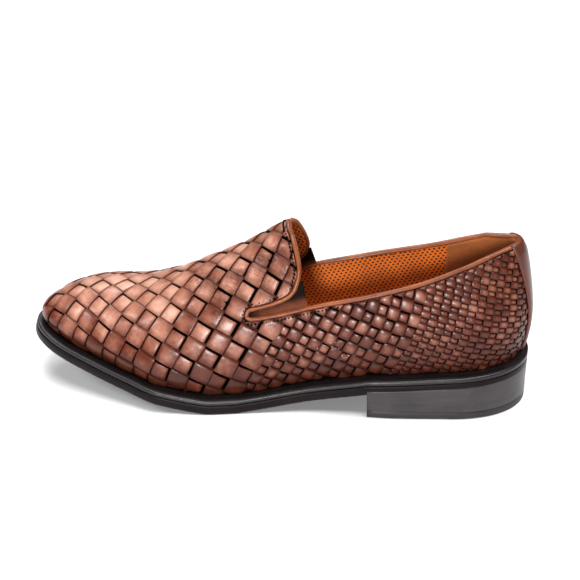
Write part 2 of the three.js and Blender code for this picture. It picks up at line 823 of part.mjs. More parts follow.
// The upper: a plain backing under raised straps, cut open at the collar, throat, notches and below
function makeUpper() {
  const net = vampNet();
  const outerStarts = closer(strapStarts(net, 1), midShare);
  const outerMid = quarterLattice(1, outerStarts, midStep, 11, strapSlope.outer);
  const outerFine = quarterLattice(1, closer(outerMid.ends, fineShare), fineStep, 18, strapSlope.outer);
  const innerBig = quarterLattice(-1, strapStarts(net, -1), strapWidth, 7, strapSlope.inner);
  const innerMid = quarterLattice(-1, closer(innerBig.ends, innerShare), innerMidStep, 16, strapSlope.inner);
  const floorBelow = -40;
  let upper = domeSolid(backingDepth, floorBelow);
  upper = upper.add(wovenSheet(vampLattice(net), reliefBig, 0));
  upper = upper.add(wovenSheet(outerMid.rows, reliefMid, 0));
  upper = upper.add(wovenSheet(outerFine.rows, reliefFine, 0));
  upper = upper.add(wovenSheet(innerBig.rows, reliefBig, 0));
  upper = upper.add(wovenSheet(innerMid.rows, reliefMid, 0));
  upper = upper.subtract(domeSolid(wallDepth, floorBelow - 10));
  upper = upper.subtract(openingCutter(1)).subtract(openingCutter(-1)).subtract(belowWelt());
  return largestBody(upper);
}

// Middle line of the binding on one side, just clear of the cut edge
function beadPath(side, count) {
  const clear = beadGap + beadRadius;
  const edge = openingEdge(side).getSpacedPoints(count);
  const path = [];
  for (let k = 0; k < edge.length; k++) {
    const before = edge[Math.max(0, k - 1)];
    const after = edge[Math.min(edge.length - 1, k + 1)];
    const dir = after.clone().sub(before).normalize();
    const x = edge[k].x + dir.y * clear;
    const z = edge[k].y - dir.x * clear;
    const middle = ridgeAt(x);
    if (z > (topOver(x, middle) ?? 0) - 1.5) continue;
    if (x < heelRoundFrom - 20) continue;
    path.push(new THREE.Vector3(x, halfPoint(x, z, side, middle), z));
  }
  return path;
}

// Binding: a bead that follows the whole edge of the opening
function makeBinding() {
  const clear = beadGap + beadRadius;
  const throat = tabEdge[0].x - clear;
  const middle = ridgeAt(throat);
  const crossingPoints = throatCrossing.map(({ across, back }) => {
    const x = throat - back;
    return new THREE.Vector3(x, middle + across, topOver(x, middle + across));
  });
  const outer = beadPath(1, 120);
  const inner = beadPath(-1, 120);
  const backHeight = topLine[topLine.length - 1].outer + clear - 0.6;
  const back = [12, 6, 0, -6, -12].map((s) => quarterPoint(s, backHeight - 0.05 * Math.abs(s)));
  const loop = [...crossingPoints, ...outer, ...back, ...inner.reverse()];
  const curve = new THREE.CatmullRomCurve3(loop, true);
  const stations = 112;
  const sides = 6;
  const centre = curve.getSpacedPoints(stations).slice(0, stations);
  const rings = centre.map((p, k) => {
    const ahead = centre[(k + 1) % stations].clone().sub(centre[(k + stations - 1) % stations]).normalize();
    const n = normalAt(landOnLast(p));
    const across = new THREE.Vector3().crossVectors(ahead, n).normalize();
    const out = new THREE.Vector3().crossVectors(across, ahead);
    const heart = p.clone().addScaledVector(n, -wallDepth / 2);
    return spread(0, 2 * Math.PI, sides).slice(0, sides).map((angle) => heart.clone()
      .addScaledVector(across, beadRadius * Math.cos(angle))
      .addScaledVector(out, beadRadius * Math.sin(angle)));
  });
  const loops = spread(0, sides - 1, sides - 1).map((side) => rings.map((ring) => ring[side]));
  return ringSolid(loops);
}

// Elastic panel behind a notch
function makeGore(side) {
  const rise = side > 0 ? 0 : tabInnerRise;
  const shape = [
    [17, 56], [2, 70], [-12, 77], [-21, 80], [-24.5, 74], [-27, 60], [-10, 54], [10, 51],
  ].map(([x, z]) => new THREE.Vector2(x, z + rise));
  const prism = new THREE.ExtrudeGeometry(new THREE.Shape(shape), { depth: 90, bevelEnabled: false });
  prism.rotateX(Math.PI / 2);
  prism.translate(0, side > 0 ? 90 : 0, 0);
  const from = Math.abs(distanceOf(new THREE.Vector3(22, side * 40, 60), side));
  const to = Math.abs(distanceOf(new THREE.Vector3(-33, side * 30, 60), side));
  const heightsAt = (s) => {
    let top = 84 + rise;
    while (!quarterPoint(s, top)) top -= 1;
    return spread(48 + rise, top, 4);
  };
  const shallow = wallDepth + fit + 0.7;
  const sheet = wallPatch(spread(side * from, side * to, 6), heightsAt, shallow, shallow + goreThickness);
  return sheet.intersect(solidOfGeometry(prism));
}

// Strip over the back seam
function makeBackStrip() {
  const halfAt = smoothThrough(backStripWidth.map((row) => row.z), backStripWidth.map((row) => row.half));
  const bottom = soleTop(heelEnd) + fit + 0.8;
  const top = topLine[topLine.length - 1].outer - 0.6;
  const heights = spread(bottom, top, 8);
  const across = spread(-1, 1, 6);
  const rows = heights.map((z) => across.map((u) => quarterPoint(u * halfAt(z), z)));
  const outline = rows.map((row) => [
    ...row.map((p) => sunk(p, -fit)),
    ...row.slice().reverse().map((p) => sunk(p, -fit - stripThickness)),
  ]);
  return loftedSolid(outline);
}

function makeWelt() {
  const under = outsoleThickness + fit;
  const profile = [
    { inset: 0.8, lift: under },
    { inset: 0.5, lift: soleStack - 0.9 },
    { inset: 1.2, lift: soleStack },
    { inset: weltReach, lift: soleStack },
    { inset: weltReach, lift: under },
  ];
  return ringSolid(profile.map((at) => soleLoop(at.inset, at.lift)));
}

function makeOutsole() {
  return solePlate([
    { inset: 1.2, lift: 0 },
    { inset: 0.1, lift: 1.2 },
    { inset: 0.1, lift: outsoleThickness - 0.9 },
    { inset: 0.8, lift: outsoleThickness },
  ]);
}

function makeInsole() {
  const clearOfWall = 1.5;
  const inset = upperInset + featherTuck + wallDepth + clearOfWall;
  const bottom = soleStack + fit;
  return solePlate([
    { inset, lift: bottom },
    { inset, lift: bottom + insoleThickness },
  ]);
}

function makeHeelBlock() {
  const bottom = topPieceThickness + fit;
  return heelPlate([
    { inset: 1.3, z: () => bottom },
    { inset: 0.9, z: () => bottom + 4.5 },
    { inset: 0.4, z: (x) => soleBottom(x) - fit - 1 },
    { inset: 0.9, z: (x) => soleBottom(x) - fit },
  ]);
}

function makeTopPiece() {
  return heelPlate([
    { inset: 2.1, z: () => 0 },
    { inset: 1.5, z: () => 0.8 },
    { inset: 1.3, z: () => topPieceThickness },
  ]);
}

// Named mesh of a solid with its own material
function pieceOf(name, solid, look) {
  const mesh = solid.getMesh();
  const geometry = new THREE.BufferGeometry();
  const positions = new Float32Array(mesh.numVert * 3);
  for (let v = 0; v < mesh.numVert; v++) {
    for (let k = 0; k < 3; k++) positions[v * 3 + k] = mesh.vertProperties[v * mesh.numProp + k];
  }
  geometry.setAttribute("position", new THREE.BufferAttribute(positions, 3));
  geometry.setIndex(new THREE.BufferAttribute(new Uint32Array(mesh.triVerts), 1));
  geometry.computeVertexNormals();
  const piece = new THREE.Mesh(geometry, new THREE.MeshStandardMaterial({ metalness: 0, ...look }));
  piece.name = name;
  return piece;
}

const shoe = new THREE.Group();
shoe.add(
  pieceOf("upper", makeUpper(), { color: 0x7a4430, roughness: 0.42 }),
  pieceOf("collar_binding", makeBinding(), { color: 0x9a5a3a, roughness: 0.45 }),
  pieceOf("gore_outer", makeGore(1), { color: 0x4a2a22, roughness: 0.8 }),
  pieceOf("gore_inner", makeGore(-1), { color: 0x4a2a22, roughness: 0.8 }),
  pieceOf("back_strip", makeBackStrip(), { color: 0x6e3a2a, roughness: 0.4 }),
  pieceOf("welt", makeWelt(), { color: 0x2a2022, roughness: 0.55 }),
  pieceOf("outsole", makeOutsole(), { color: 0x30262a, roughness: 0.45 }),
  pieceOf("insole", makeInsole(), { color: 0xb5762e, roughness: 0.6 }),
  pieceOf("heel_block", makeHeelBlock(), { color: 0x2c2a2c, roughness: 0.4 }),
  pieceOf("heel_top_piece", makeTopPiece(), { color: 0x1c1b1c, roughness: 0.6 }),
);

export default shoe;
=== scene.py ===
import math
import bmesh
import bpy
import numpy as np
from mathutils import Matrix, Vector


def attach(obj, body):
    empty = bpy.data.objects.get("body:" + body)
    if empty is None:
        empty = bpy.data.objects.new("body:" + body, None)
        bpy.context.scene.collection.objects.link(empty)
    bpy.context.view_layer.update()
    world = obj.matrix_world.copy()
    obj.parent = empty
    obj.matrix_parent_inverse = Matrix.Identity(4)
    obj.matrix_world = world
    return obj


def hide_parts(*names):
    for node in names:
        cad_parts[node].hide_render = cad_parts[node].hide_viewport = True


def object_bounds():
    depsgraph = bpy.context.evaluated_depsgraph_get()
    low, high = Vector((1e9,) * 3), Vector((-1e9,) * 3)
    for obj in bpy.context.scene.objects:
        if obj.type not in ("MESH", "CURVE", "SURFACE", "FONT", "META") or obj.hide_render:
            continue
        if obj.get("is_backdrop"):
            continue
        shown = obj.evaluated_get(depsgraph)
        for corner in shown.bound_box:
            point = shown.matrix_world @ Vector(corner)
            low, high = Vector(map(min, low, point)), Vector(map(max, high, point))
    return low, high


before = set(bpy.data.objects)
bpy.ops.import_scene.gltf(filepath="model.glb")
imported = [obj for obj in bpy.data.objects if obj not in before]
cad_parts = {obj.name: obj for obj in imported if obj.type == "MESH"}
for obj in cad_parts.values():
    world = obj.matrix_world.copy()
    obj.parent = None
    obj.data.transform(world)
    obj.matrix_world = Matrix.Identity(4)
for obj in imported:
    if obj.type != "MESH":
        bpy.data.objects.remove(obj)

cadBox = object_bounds()
mm = 0.001
dice = np.random.default_rng(7)
print("frame loaded, box", cadBox)

# sizes of the sole in millimetres, as in the solids
soleSizes = {
    "length": 305.0,
    "breast": -61.0,
    "breastHeight": 15.5,
    "seatSlope": 0.0635,
    "treadFrom": 15.5,
    "treadTo": 32.4,
    "waistBend": 1.145,
    "toeSpring": 28.6,
    "springBend": 1.2,
    "outsole": 6.0,
    "gap": 0.3,
    "welt": 2.7,
    "topPiece": 5.0,
}
heelEnd = -soleSizes["length"] / 2
toeEnd = soleSizes["length"] / 2
soleStack = soleSizes["outsole"] + soleSizes["gap"] + soleSizes["welt"]

# shape of the last
lastSizes = {
    "inset": 4.7,
    "heelInset": 0.4,
    "tuck": 4.5,
    "tuckHeight": 0.313,
    "toeRoundFrom": 61.4,
    "heelRoundFrom": -107.5,
    "toeRound": 2.73,
    "heelRound": 2.21,
    "planRound": 2.17,
    "crownRound": 2.0,
    "leanHeight": 70.0,
    "leanLimit": 1.2,
}

# sections from heel (0) to toe (1)
lastColumns = ("at", "outer", "inner", "crown", "ridge", "lean")
lastRows = [
    (0.00, 35.3, 35.0, 106.5, 0.0, 0.38),
    (0.15, 38.9, 35.4, 117.2, -0.5, 0.37),
    (0.28, 42.1, 34.0, 114.5, -0.9, 0.26),
    (0.40, 40.7, 30.1, 99.3, -1.9, 0.11),
    (0.52, 45.1, 33.0, 83.8, -3.1, 0.03),
    (0.62, 50.4, 42.0, 68.6, -3.7, 0.01),
    (0.70, 51.5, 49.0, 52.7, -4.0, 0.0),
    (0.78, 45.6, 52.0, 41.4, -3.7, 0.0),
    (0.88, 40.0, 48.0, 36.7, -2.7, 0.0),
    (1.00, 38.0, 40.0, 27.3, 0.0, 0.0),
]


def smoothThrough(xs, ys):
    xs, ys = np.asarray(xs, float), np.asarray(ys, float)
    span = np.diff(xs)
    rise = np.diff(ys) / span
    slope = np.zeros(len(xs))
    slope[0], slope[-1] = rise[0], rise[-1]
    for k in range(1, len(xs) - 1):
        if rise[k - 1] * rise[k] > 0:
            before, after = 2 * span[k] + span[k - 1], span[k] + 2 * span[k - 1]
            slope[k] = (before + after) / (before / rise[k - 1] + after / rise[k])

    def curve(x):
        x = np.clip(x, xs[0], xs[-1])
        k = np.clip(np.searchsorted(xs, x) - 1, 0, len(span) - 1)
        u = (x - xs[k]) / span[k]
        v = 1 - u
        start = (1 + 2 * u) * v * v * ys[k] + u * v * v * span[k] * slope[k]
        return start + u * u * (3 - 2 * u) * ys[k + 1] - u * u * v * span[k] * slope[k + 1]

    return curve


lastPlaces = [heelEnd + row[0] * soleSizes["length"] for row in lastRows]
lastCurve = {
    name: smoothThrough(lastPlaces, [row[k] for row in lastRows])
    for k, name in enumerate(lastColumns) if k
}


def soleBottom(x):
    s = soleSizes
    x = np.asarray(x, float)
    waist = np.clip((x - s["breast"]) / (s["treadFrom"] - s["breast"]), 0, 1)
    spring = np.clip((x - s["treadTo"]) / (toeEnd - s["treadTo"]), 0, None)
    front = s["breastHeight"] * (1 - waist) ** s["waistBend"] + s["toeSpring"] * spring ** s["springBend"]
    return np.where(x < s["breast"], s["breastHeight"] + s["seatSlope"] * (s["breast"] - x), front)


def soleTop(x):
    return soleBottom(x) + soleStack


def endRound(x, toeInset, heelInset):
    # share of the plan's room taken by the rounds of toe and heel, one at their ends
    z = lastSizes
    toe = np.clip(x - z["toeRoundFrom"], 0, None) / (toeEnd - toeInset - z["toeRoundFrom"])
    heel = np.clip(z["heelRoundFrom"] - x, 0, None) / (z["heelRoundFrom"] - heelEnd - heelInset)
    return toe ** z["toeRound"] + heel ** z["heelRound"]


def lastField(p):
    # zero on the crest of the upper, negative inside
    z = lastSizes
    x, y = p[..., 0], p[..., 1]
    up = np.maximum(p[..., 2] - soleTop(x), 0)
    height = up / lastCurve["crown"](x)
    tuck = z["tuck"] * np.clip(1 - height / z["tuckHeight"], 0, None) ** 2
    ridge = lastCurve["ridge"](x)
    side = np.where(y >= ridge, 1.0, -1.0)
    half = np.where(side > 0, lastCurve["outer"](x), lastCurve["inner"](x)) - z["inset"] - tuck - side * ridge
    leaned = half * (1 - lastCurve["lean"](x) * np.minimum(z["leanLimit"], up / z["leanHeight"]) ** 2)
    across = np.abs(y - ridge) / leaned
    plan = endRound(x, z["inset"] + tuck, z["heelInset"] + tuck) + across ** z["planRound"]
    return plan + height ** z["crownRound"] - 1


def lastGradient(p):
    e = 0.05
    parts = []
    for axis in range(3):
        step = np.zeros(3)
        step[axis] = e
        parts.append((lastField(p + step) - lastField(p - step)) / (2 * e))
    return np.stack(parts, -1)


def unit(v):
    return v / np.maximum(np.linalg.norm(v, axis=-1, keepdims=True), 1e-9)


def lastNormal(p):
    return unit(lastGradient(p))


def landOnLast(p, steps=5):
    p = np.array(p, float)
    for _ in range(steps):
        g = lastGradient(p)
        p = p - g * (lastField(p) / np.maximum((g * g).sum(-1), 1e-12))[..., None]
    return p


def bisect(f, low, high, steps=38):
    # root of f on each row, nan where the sign doesn't change
    low, high = np.array(low, float), np.array(high, float)
    atLow, atHigh = f(low), f(high)
    for _ in range(steps):
        middle = (low + high) / 2
        same = np.sign(f(middle)) == np.sign(atLow)
        low, high = np.where(same, middle, low), np.where(same, high, middle)
    return np.where(np.sign(atLow) == np.sign(atHigh), np.nan, (low + high) / 2)


def topOver(x, y):
    x, y = np.broadcast_arrays(np.asarray(x, float), np.asarray(y, float))
    return bisect(lambda z: lastField(np.stack([x, y, z], -1)), soleTop(x), soleTop(x) + 160)


def sideOf(x, z, side):
    # the crest surface at a place and height on one side
    x, z = np.broadcast_arrays(np.asarray(x, float), np.asarray(z, float))
    ridge = lastCurve["ridge"](x)
    at = lambda d: np.stack([x, ridge + side * d, z], -1)
    out = bisect(lambda d: lastField(at(d)), np.zeros_like(x), np.full_like(x, 70.0))
    return at(np.nan_to_num(out))


contourSizes = {
    "level": 30.0,
    "reach": {1: 190, -1: 235},  # steps of a millimetre round each side
    "inside": 45.0,  # the surface is looked for this far in from the line, and this far out
    "outside": 14.0,
    "nearerStarts": (-36.0, -27.0, -18.0),
}


def traceContour(side):
    # level line round the quarters from the middle of the back
    level = contourSizes["level"]
    xs = np.linspace(heelEnd - 4, lastSizes["heelRoundFrom"], 400)
    field = lastField(np.stack([xs, 0 * xs, soleTop(xs) + level], -1))
    p = np.array([xs[np.argmax(field < 0)], 0.0])
    along = np.array([0.0, side])
    places, outs = [], []
    for _ in range(contourSizes["reach"][side] + 1):
        for _ in range(3):
            at = np.array([p[0], p[1], float(soleTop(p[0])) + level])
            g = lastGradient(at)[:2]
            p = p - g * float(lastField(at)) / (g @ g)
        out = g / np.linalg.norm(g)
        places.append(p)
        outs.append(out)
        tangent = np.array([-out[1], out[0]])
        along = tangent if tangent @ along > 0 else -tangent
        p = p + along
    return np.array(places), np.array(outs)


contours = {side: traceContour(side) for side in (1, -1)}


def quarterPoint(distance, z):
    # crest surface at a distance round from the back (outer side positive) and a height
    distance, z = np.broadcast_arrays(np.asarray(distance, float), np.asarray(z, float))
    result = np.full(distance.shape + (3,), np.nan)
    for side in (1, -1):
        mine = (distance >= 0) if side > 0 else (distance < 0)
        if not mine.any():
            continue
        places, outs = contours[side]
        s = np.clip(np.abs(distance[mine]), 0, len(places) - 1.001)
        k = np.floor(s).astype(int)
        share = (s - k)[:, None]
        p = places[k] * (1 - share) + places[k + 1] * share
        out = unit(outs[k] * (1 - share) + outs[k + 1] * share)
        high = z[mine]
        at = lambda d: np.stack([p[:, 0] + out[:, 0] * d, p[:, 1] + out[:, 1] * d, high], -1)
        low = np.full_like(high, -contourSizes["inside"])
        for nearer in contourSizes["nearerStarts"]:
            low = np.where(lastField(at(low)) > 0, nearer, low)  # start inside the last where it is narrow
        offset = bisect(lambda d: lastField(at(d)), low, np.full_like(high, contourSizes["outside"]))
        result[mine] = at(offset)
    return result


def distanceOf(point, side):
    places, outs = contours[side]
    d = point[:2] - places
    off = np.abs(d[:, 0] * outs[:, 1] - d[:, 1] * outs[:, 0])
    off[(d * outs).sum(1) < -contourSizes["inside"]] = np.inf
    return int(off.argmin())


# opening: edge of the tab, then round the notch and along the top line to the back
openingSizes = {
    "tab": [
        (-10.3, 104.5), (-14.5, 100.5), (-18.1, 92.2), (-19.9, 85.0),
        (-19.2, 78.5), (-15.8, 71.4), (-6.5, 66.4),
    ],
    "tabInnerRise": 3.0,
    "riseBelow": 85.0,
    "riseRun": 12.0,
    "notchX": 6.5,
    "notchOuter": 59.3,
    "notchInner": 62.3,
    "notchRadius": 3.0,
    "topLine": [
        (-11, 59.8, 64.2), (-30, 65.0, 70.6), (-60, 72.6, 76.8), (-91, 80.7, 84.0),
        (-112, 88.6, 90.3), (-130, 95.5, 95.8), (-152, 99.0, 99.0),
    ],
    "behind": 30.0,  # the outline is closed this far behind the heel, at the height above
    "above": 180.0,
    "nearX": 20.0,  # points ahead of this, or lower than the next, are leather
    "nearZ": 50.0,
}


def curveThrough(points, perSpan=16, closed=False):
    points = np.asarray(points, float)
    count = len(points)
    spans = count if closed else count - 1
    u = np.arange(perSpan)[:, None] / perSpan
    out = []
    for k in range(spans):
        pick = [k - 1, k, k + 1, k + 2]
        pick = [i % count if closed else min(max(i, 0), count - 1) for i in pick]
        a, b, c, d = points[pick]
        out.append(0.5 * ((2 * b) + (c - a) * u + (2 * a - 5 * b + 4 * c - d) * u ** 2
                          + (3 * b - a - 3 * c + d) * u ** 3))
    if not closed:
        out.append(points[-1:])
    return np.concatenate(out)


def evenly(points, count, closed=False):
    points = np.asarray(points, float)
    if closed:
        points = np.concatenate([points, points[:1]])
    run = np.concatenate([[0], np.cumsum(np.linalg.norm(np.diff(points, axis=0), axis=1))])
    at = np.linspace(0, run[-1], count + 1)
    if closed:
        at = at[:-1]
    return np.stack([np.interp(at, run, points[:, k]) for k in range(points.shape[1])], -1)


def openingEdge(side):
    o = openingSizes
    column = 1 if side > 0 else 2
    rise = 0 if side > 0 else o["tabInnerRise"]
    lift = lambda z: rise * min(1, max(0, o["riseBelow"] - z) / o["riseRun"])
    tipZ = o["notchOuter"] if side > 0 else o["notchInner"]
    radius = o["notchRadius"]
    turn = [math.radians(a) for a in (70, 0, -70)]
    tip = [(o["notchX"] + radius * math.cos(a), tipZ + radius * math.sin(a)) for a in turn]
    tab = [(x, z + lift(z)) for x, z in o["tab"]]
    line = [(row[0], row[column]) for row in o["topLine"]]
    return evenly(curveThrough(tab + tip + line), 260)


openingEdges = {side: openingEdge(side) for side in (1, -1)}


def openingDepth(p):
    # how far a point lies inside the opening, seen from the side, negative on the leather,
    # and the way towards the leather
    o = openingSizes
    depth = np.full(len(p), -99.0)
    away = np.zeros((len(p), 2))
    ridge = lastCurve["ridge"](p[:, 0])
    for side in (1, -1):
        edge = openingEdges[side]
        mine = np.where((p[:, 1] >= ridge) == (side > 0))[0]
        mine = mine[(p[mine, 2] > o["nearZ"]) & (p[mine, 0] < o["nearX"])]
        start, behind = [edge[0, 0], o["above"]], heelEnd - o["behind"]
        ring = np.concatenate([edge, [[behind, edge[-1, 1]], [behind, o["above"]], start]])
        a = np.concatenate([[start], edge[:-1]])
        ab = edge - a
        for part in np.array_split(mine, max(1, len(mine) // 4000 + 1)):
            q = p[part][:, [0, 2]]
            u = np.clip(((q[:, None] - a) * ab).sum(-1) / np.maximum((ab * ab).sum(-1), 1e-9), 0, 1)
            foot = a + u[..., None] * ab
            far = np.linalg.norm(q[:, None] - foot, axis=-1)
            k = far.argmin(1)
            rows = np.arange(len(part))
            inside = np.zeros(len(part), bool)
            for c, d in zip(ring, np.roll(ring, -1, 0)):
                crosses = (c[1] > q[:, 1]) != (d[1] > q[:, 1])
                with np.errstate(divide="ignore", invalid="ignore"):
                    xAt = c[0] + (q[:, 1] - c[1]) * (d[0] - c[0]) / (d[1] - c[1])
                inside ^= crosses & (q[:, 0] < xAt)
            sign = np.where(inside, 1.0, -1.0)
            depth[part] = sign * far[rows, k]
            ahead = unit(ab[k])
            across = np.stack([-ahead[:, 1], ahead[:, 0]], -1)
            straight = unit((foot[rows, k] - q) * sign[:, None])
            away[part] = np.where(far[rows, k, None] > 0.2, straight, across)
    return depth, away


# the weave
weaveSizes = {
    "width": 11.2,
    "startX": 65.5,
    "startY": 16.5,
    "turn": 36.0,
    "iFrom": -11, "iTo": 7, "jFrom": -8, "jTo": 10,
    "skirt": 14.0,  # the net runs on this far below the top of the welt
    "startSkirt": 8.0,
    "midStep": 6.3, "midCount": 11,
    "midShare": 0.64,  # breadth of the narrower straps beside those they take over from
    "fineStep": 5.0, "fineCount": 18,
    "fineShare": 0.5,
    "innerBigCount": 7,
    "innerMidStep": 5.6, "innerMidCount": 16,
    "innerShare": 0.58,
    "zoneLap": 0.8,
    "besideTab": 16.0,
    "clearOfBack": 2.5,
}
strapSlopes = {1: (60, 150, 14, 25), -1: (60, 150, 18, 27)}  # near, far, degrees near, degrees far


def geodesic(start, direction, step, count, pieces=6):
    points, p, d = [start], start, direction
    for _ in range(count):
        for _ in range(pieces):
            q = landOnLast(p + d * step / pieces, 4)
            n = lastNormal(q)
            d = q - p
            d = unit(d - n * (d @ n))
            p = q
        points.append(p)
    return points


def cellCorner(a, b, old, width):
    middle, axis = (a + b) / 2, b - a
    half = np.linalg.norm(axis) / 2
    if half > width * 0.999:
        return None
    axis = unit(axis)
    radius = math.sqrt(width * width - half * half)
    away = middle - old
    away = unit(away - axis * (away @ axis))
    lift = np.cross(axis, away)
    at = lambda t: middle + radius * (np.cos(t)[..., None] * away + np.sin(t)[..., None] * lift)
    angles = np.linspace(-1.3, 1.3, 27)
    field = lastField(at(angles))
    turns = np.where(np.sign(field[:-1]) != np.sign(field[1:]))[0]
    if not len(turns):
        return None
    k = turns[np.abs(angles[turns] + 0.05).argmin()]
    t = bisect(lambda t: lastField(at(t)), angles[k:k + 1], angles[k + 1:k + 2], 30)
    return at(t)[0]


def vampNet():
    w = weaveSizes
    start = np.array([w["startX"], w["startY"], float(topOver(w["startX"], w["startY"]))])
    n = lastNormal(start)
    back = np.array([-1.0, 0, 0])
    back = unit(back - n * (back @ n))
    down = np.cross(back, n)
    down = down if down[2] < 0 else -down
    turn = math.radians(w["turn"])
    flat = back * math.cos(turn) + down * math.sin(turn)
    steep = -back * math.sin(turn) + down * math.cos(turn)
    iEnds = ((1, w["iTo"]), (-1, -w["iFrom"]))
    jEnds = ((1, w["jTo"]), (-1, -w["jFrom"]))
    net = {}
    for sign, count in iEnds:
        for k, p in enumerate(geodesic(start, sign * flat, w["width"], count)):
            net[sign * k, 0] = p
    for sign, count in jEnds:
        for k, p in enumerate(geodesic(start, sign * steep, w["width"], count)):
            net[0, sign * k] = p
    tooLow = lambda p: p[2] < soleTop(p[0]) - w["skirt"]
    for si, iEnd in iEnds:
        for sj, jEnd in jEnds:
            for i in range(1, iEnd + 1):
                for j in range(1, jEnd + 1):
                    a, b = net.get((si * (i - 1), sj * j)), net.get((si * i, sj * (j - 1)))
                    old = net.get((si * (i - 1), sj * (j - 1)))
                    if a is None or b is None or old is None or tooLow(a) or tooLow(b):
                        continue
                    corner = cellCorner(a, b, old, w["width"])
                    if corner is not None:
                        net[si * i, sj * j] = corner
    return net


def vampLattice(net):
    w = weaveSizes
    lattice = np.full((w["iTo"] - w["iFrom"] + 1, w["jTo"] - w["jFrom"] + 1, 3), np.nan)
    for (i, j), p in net.items():
        lattice[i - w["iFrom"], j - w["jFrom"]] = p
    return lattice


def strapStarts(net, side, extra=6, clear=5.0, below=0):
    # where the straps of the vamp end, with more in step above and below; clear is from the middle line
    w = weaveSizes
    if side > 0:
        ends = [net.get((w["iTo"], j)) for j in range(w["jTo"], w["jFrom"] - 1, -1)]
    else:
        ends = [net.get((i, w["jFrom"])) for i in range(w["iFrom"], w["iTo"] + 1)]
    starts = []
    for p in ends:
        if p is None or p[2] < soleTop(p[0]) - w["startSkirt"]:
            continue
        if side * (p[1] - lastCurve["ridge"](p[0])) >= clear:
            starts.append((distanceOf(p, side), p[2]))
    starts = np.array(starts, float)
    step = (starts[-1] - starts[0]) / (len(starts) - 1)
    under = starts[0] - step * np.arange(below, 0, -1)[:, None]
    return np.concatenate([under, starts, starts[-1] + step * np.arange(1, extra + 1)[:, None]])


def closer(starts, share):
    # strap ends along the same line, set closer by a share of their spacing
    at = np.arange(int((len(starts) - 1) / share) + 1) * share
    order = np.arange(len(starts))
    return np.stack([np.interp(at, order, starts[:, k]) for k in range(2)], -1)


def quarterLattice(side, starts, step, count, reach=8.0, foot=6.0):
    near, far, nearDegrees, farDegrees = strapSlopes[side]
    besideTab = openingSizes["tab"][3][0] - weaveSizes["besideTab"]
    topLine = openingSizes["topLine"][::-1]
    column = 1 if side > 0 else 2
    topAt = smoothThrough([row[0] for row in topLine], [row[column] for row in topLine])
    line = starts.copy()
    line[:, 0] += weaveSizes["zoneLap"]
    rows = []
    for _ in range(count + 1):
        p = quarterPoint(side * np.maximum(line[:, 0], 0.01), line[:, 1])
        lost = (line[:, 0] < weaveSizes["clearOfBack"]) | np.isnan(p[:, 0])
        lost |= p[:, 2] < soleTop(p[:, 0]) - foot
        lost |= (p[:, 2] > topAt(p[:, 0]) + reach) & ((side > 0) | (p[:, 0] < besideTab))
        p[lost] = np.nan
        rows.append(p)
        ends = line.copy()
        share = np.clip((line[:, 0] - near) / (far - near), 0, 1)
        angle = np.radians(nearDegrees + (farDegrees - nearDegrees) * share)
        line = line - step * np.stack([np.cos(angle), np.sin(angle)], -1)
    return np.array(rows), ends


def addMesh(name, bm, materials):
    mesh = bpy.data.meshes.new(name)
    bm.to_mesh(mesh)
    bm.free()
    for material in materials:
        mesh.materials.append(material)
    thing = bpy.data.objects.new(name, mesh)
    bpy.context.collection.objects.link(thing)
    return thing


def newPiece(name, bm, materials):
    piece = addMesh(name, bm, materials)
    piece.data.shade_smooth()
    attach(piece, "root")
    return piece


def placeGrid(bm, points):
    # a grid of vertices laid on points given as rows and columns, in millimetres
    rows, columns = points.shape[:2]
    made = bmesh.ops.create_grid(bm, x_segments=columns - 1, y_segments=rows - 1, size=0.5)["verts"]
    for vertex, place in zip(made, points.reshape(-1, 3) * mm):
        vertex.co = place
    return made


def gridPiece(name, points, materials, wrap=False):
    bm = bmesh.new()
    placeGrid(bm, points)
    if wrap:
        bmesh.ops.remove_doubles(bm, verts=bm.verts, dist=1e-6)
        bmesh.ops.dissolve_degenerate(bm, dist=1e-7, edges=bm.edges)
        bmesh.ops.recalc_face_normals(bm, faces=bm.faces)
    return newPiece(name, bm, materials)


def thicken(piece, thickness, offset=-1):
    solid = piece.modifiers.new("thickness", "SOLIDIFY")
    solid.thickness = thickness * mm
    solid.offset = offset
    return solid


def axes(a, b, c):
    return Matrix([[a[k], b[k], c[k]] for k in range(3)]).to_4x4()


def trimToLast(bm, over, foot=0.15):
    # cut a sheet back to the opening and to the top of the welt
    bm.verts.ensure_lookup_table()
    p = np.array([v.co for v in bm.verts]) / mm
    depth, away = openingDepth(p)
    floor = soleTop(p[:, 0]) + foot
    out = (depth > over) | (p[:, 2] < floor)
    bm.verts.index_update()
    gone = [f for f in bm.faces if all(out[v.index] for v in f.verts)]
    for v in bm.verts:
        k = v.index
        if depth[k] > over:
            v.co.x += away[k, 0] * (depth[k] - over) * mm
            v.co.z += away[k, 1] * (depth[k] - over) * mm
        elif p[k, 2] < floor[k]:
            v.co.z = floor[k] * mm
    bmesh.ops.delete(bm, geom=gone, context="FACES")
    bmesh.ops.dissolve_degenerate(bm, dist=1e-5, edges=bm.edges)


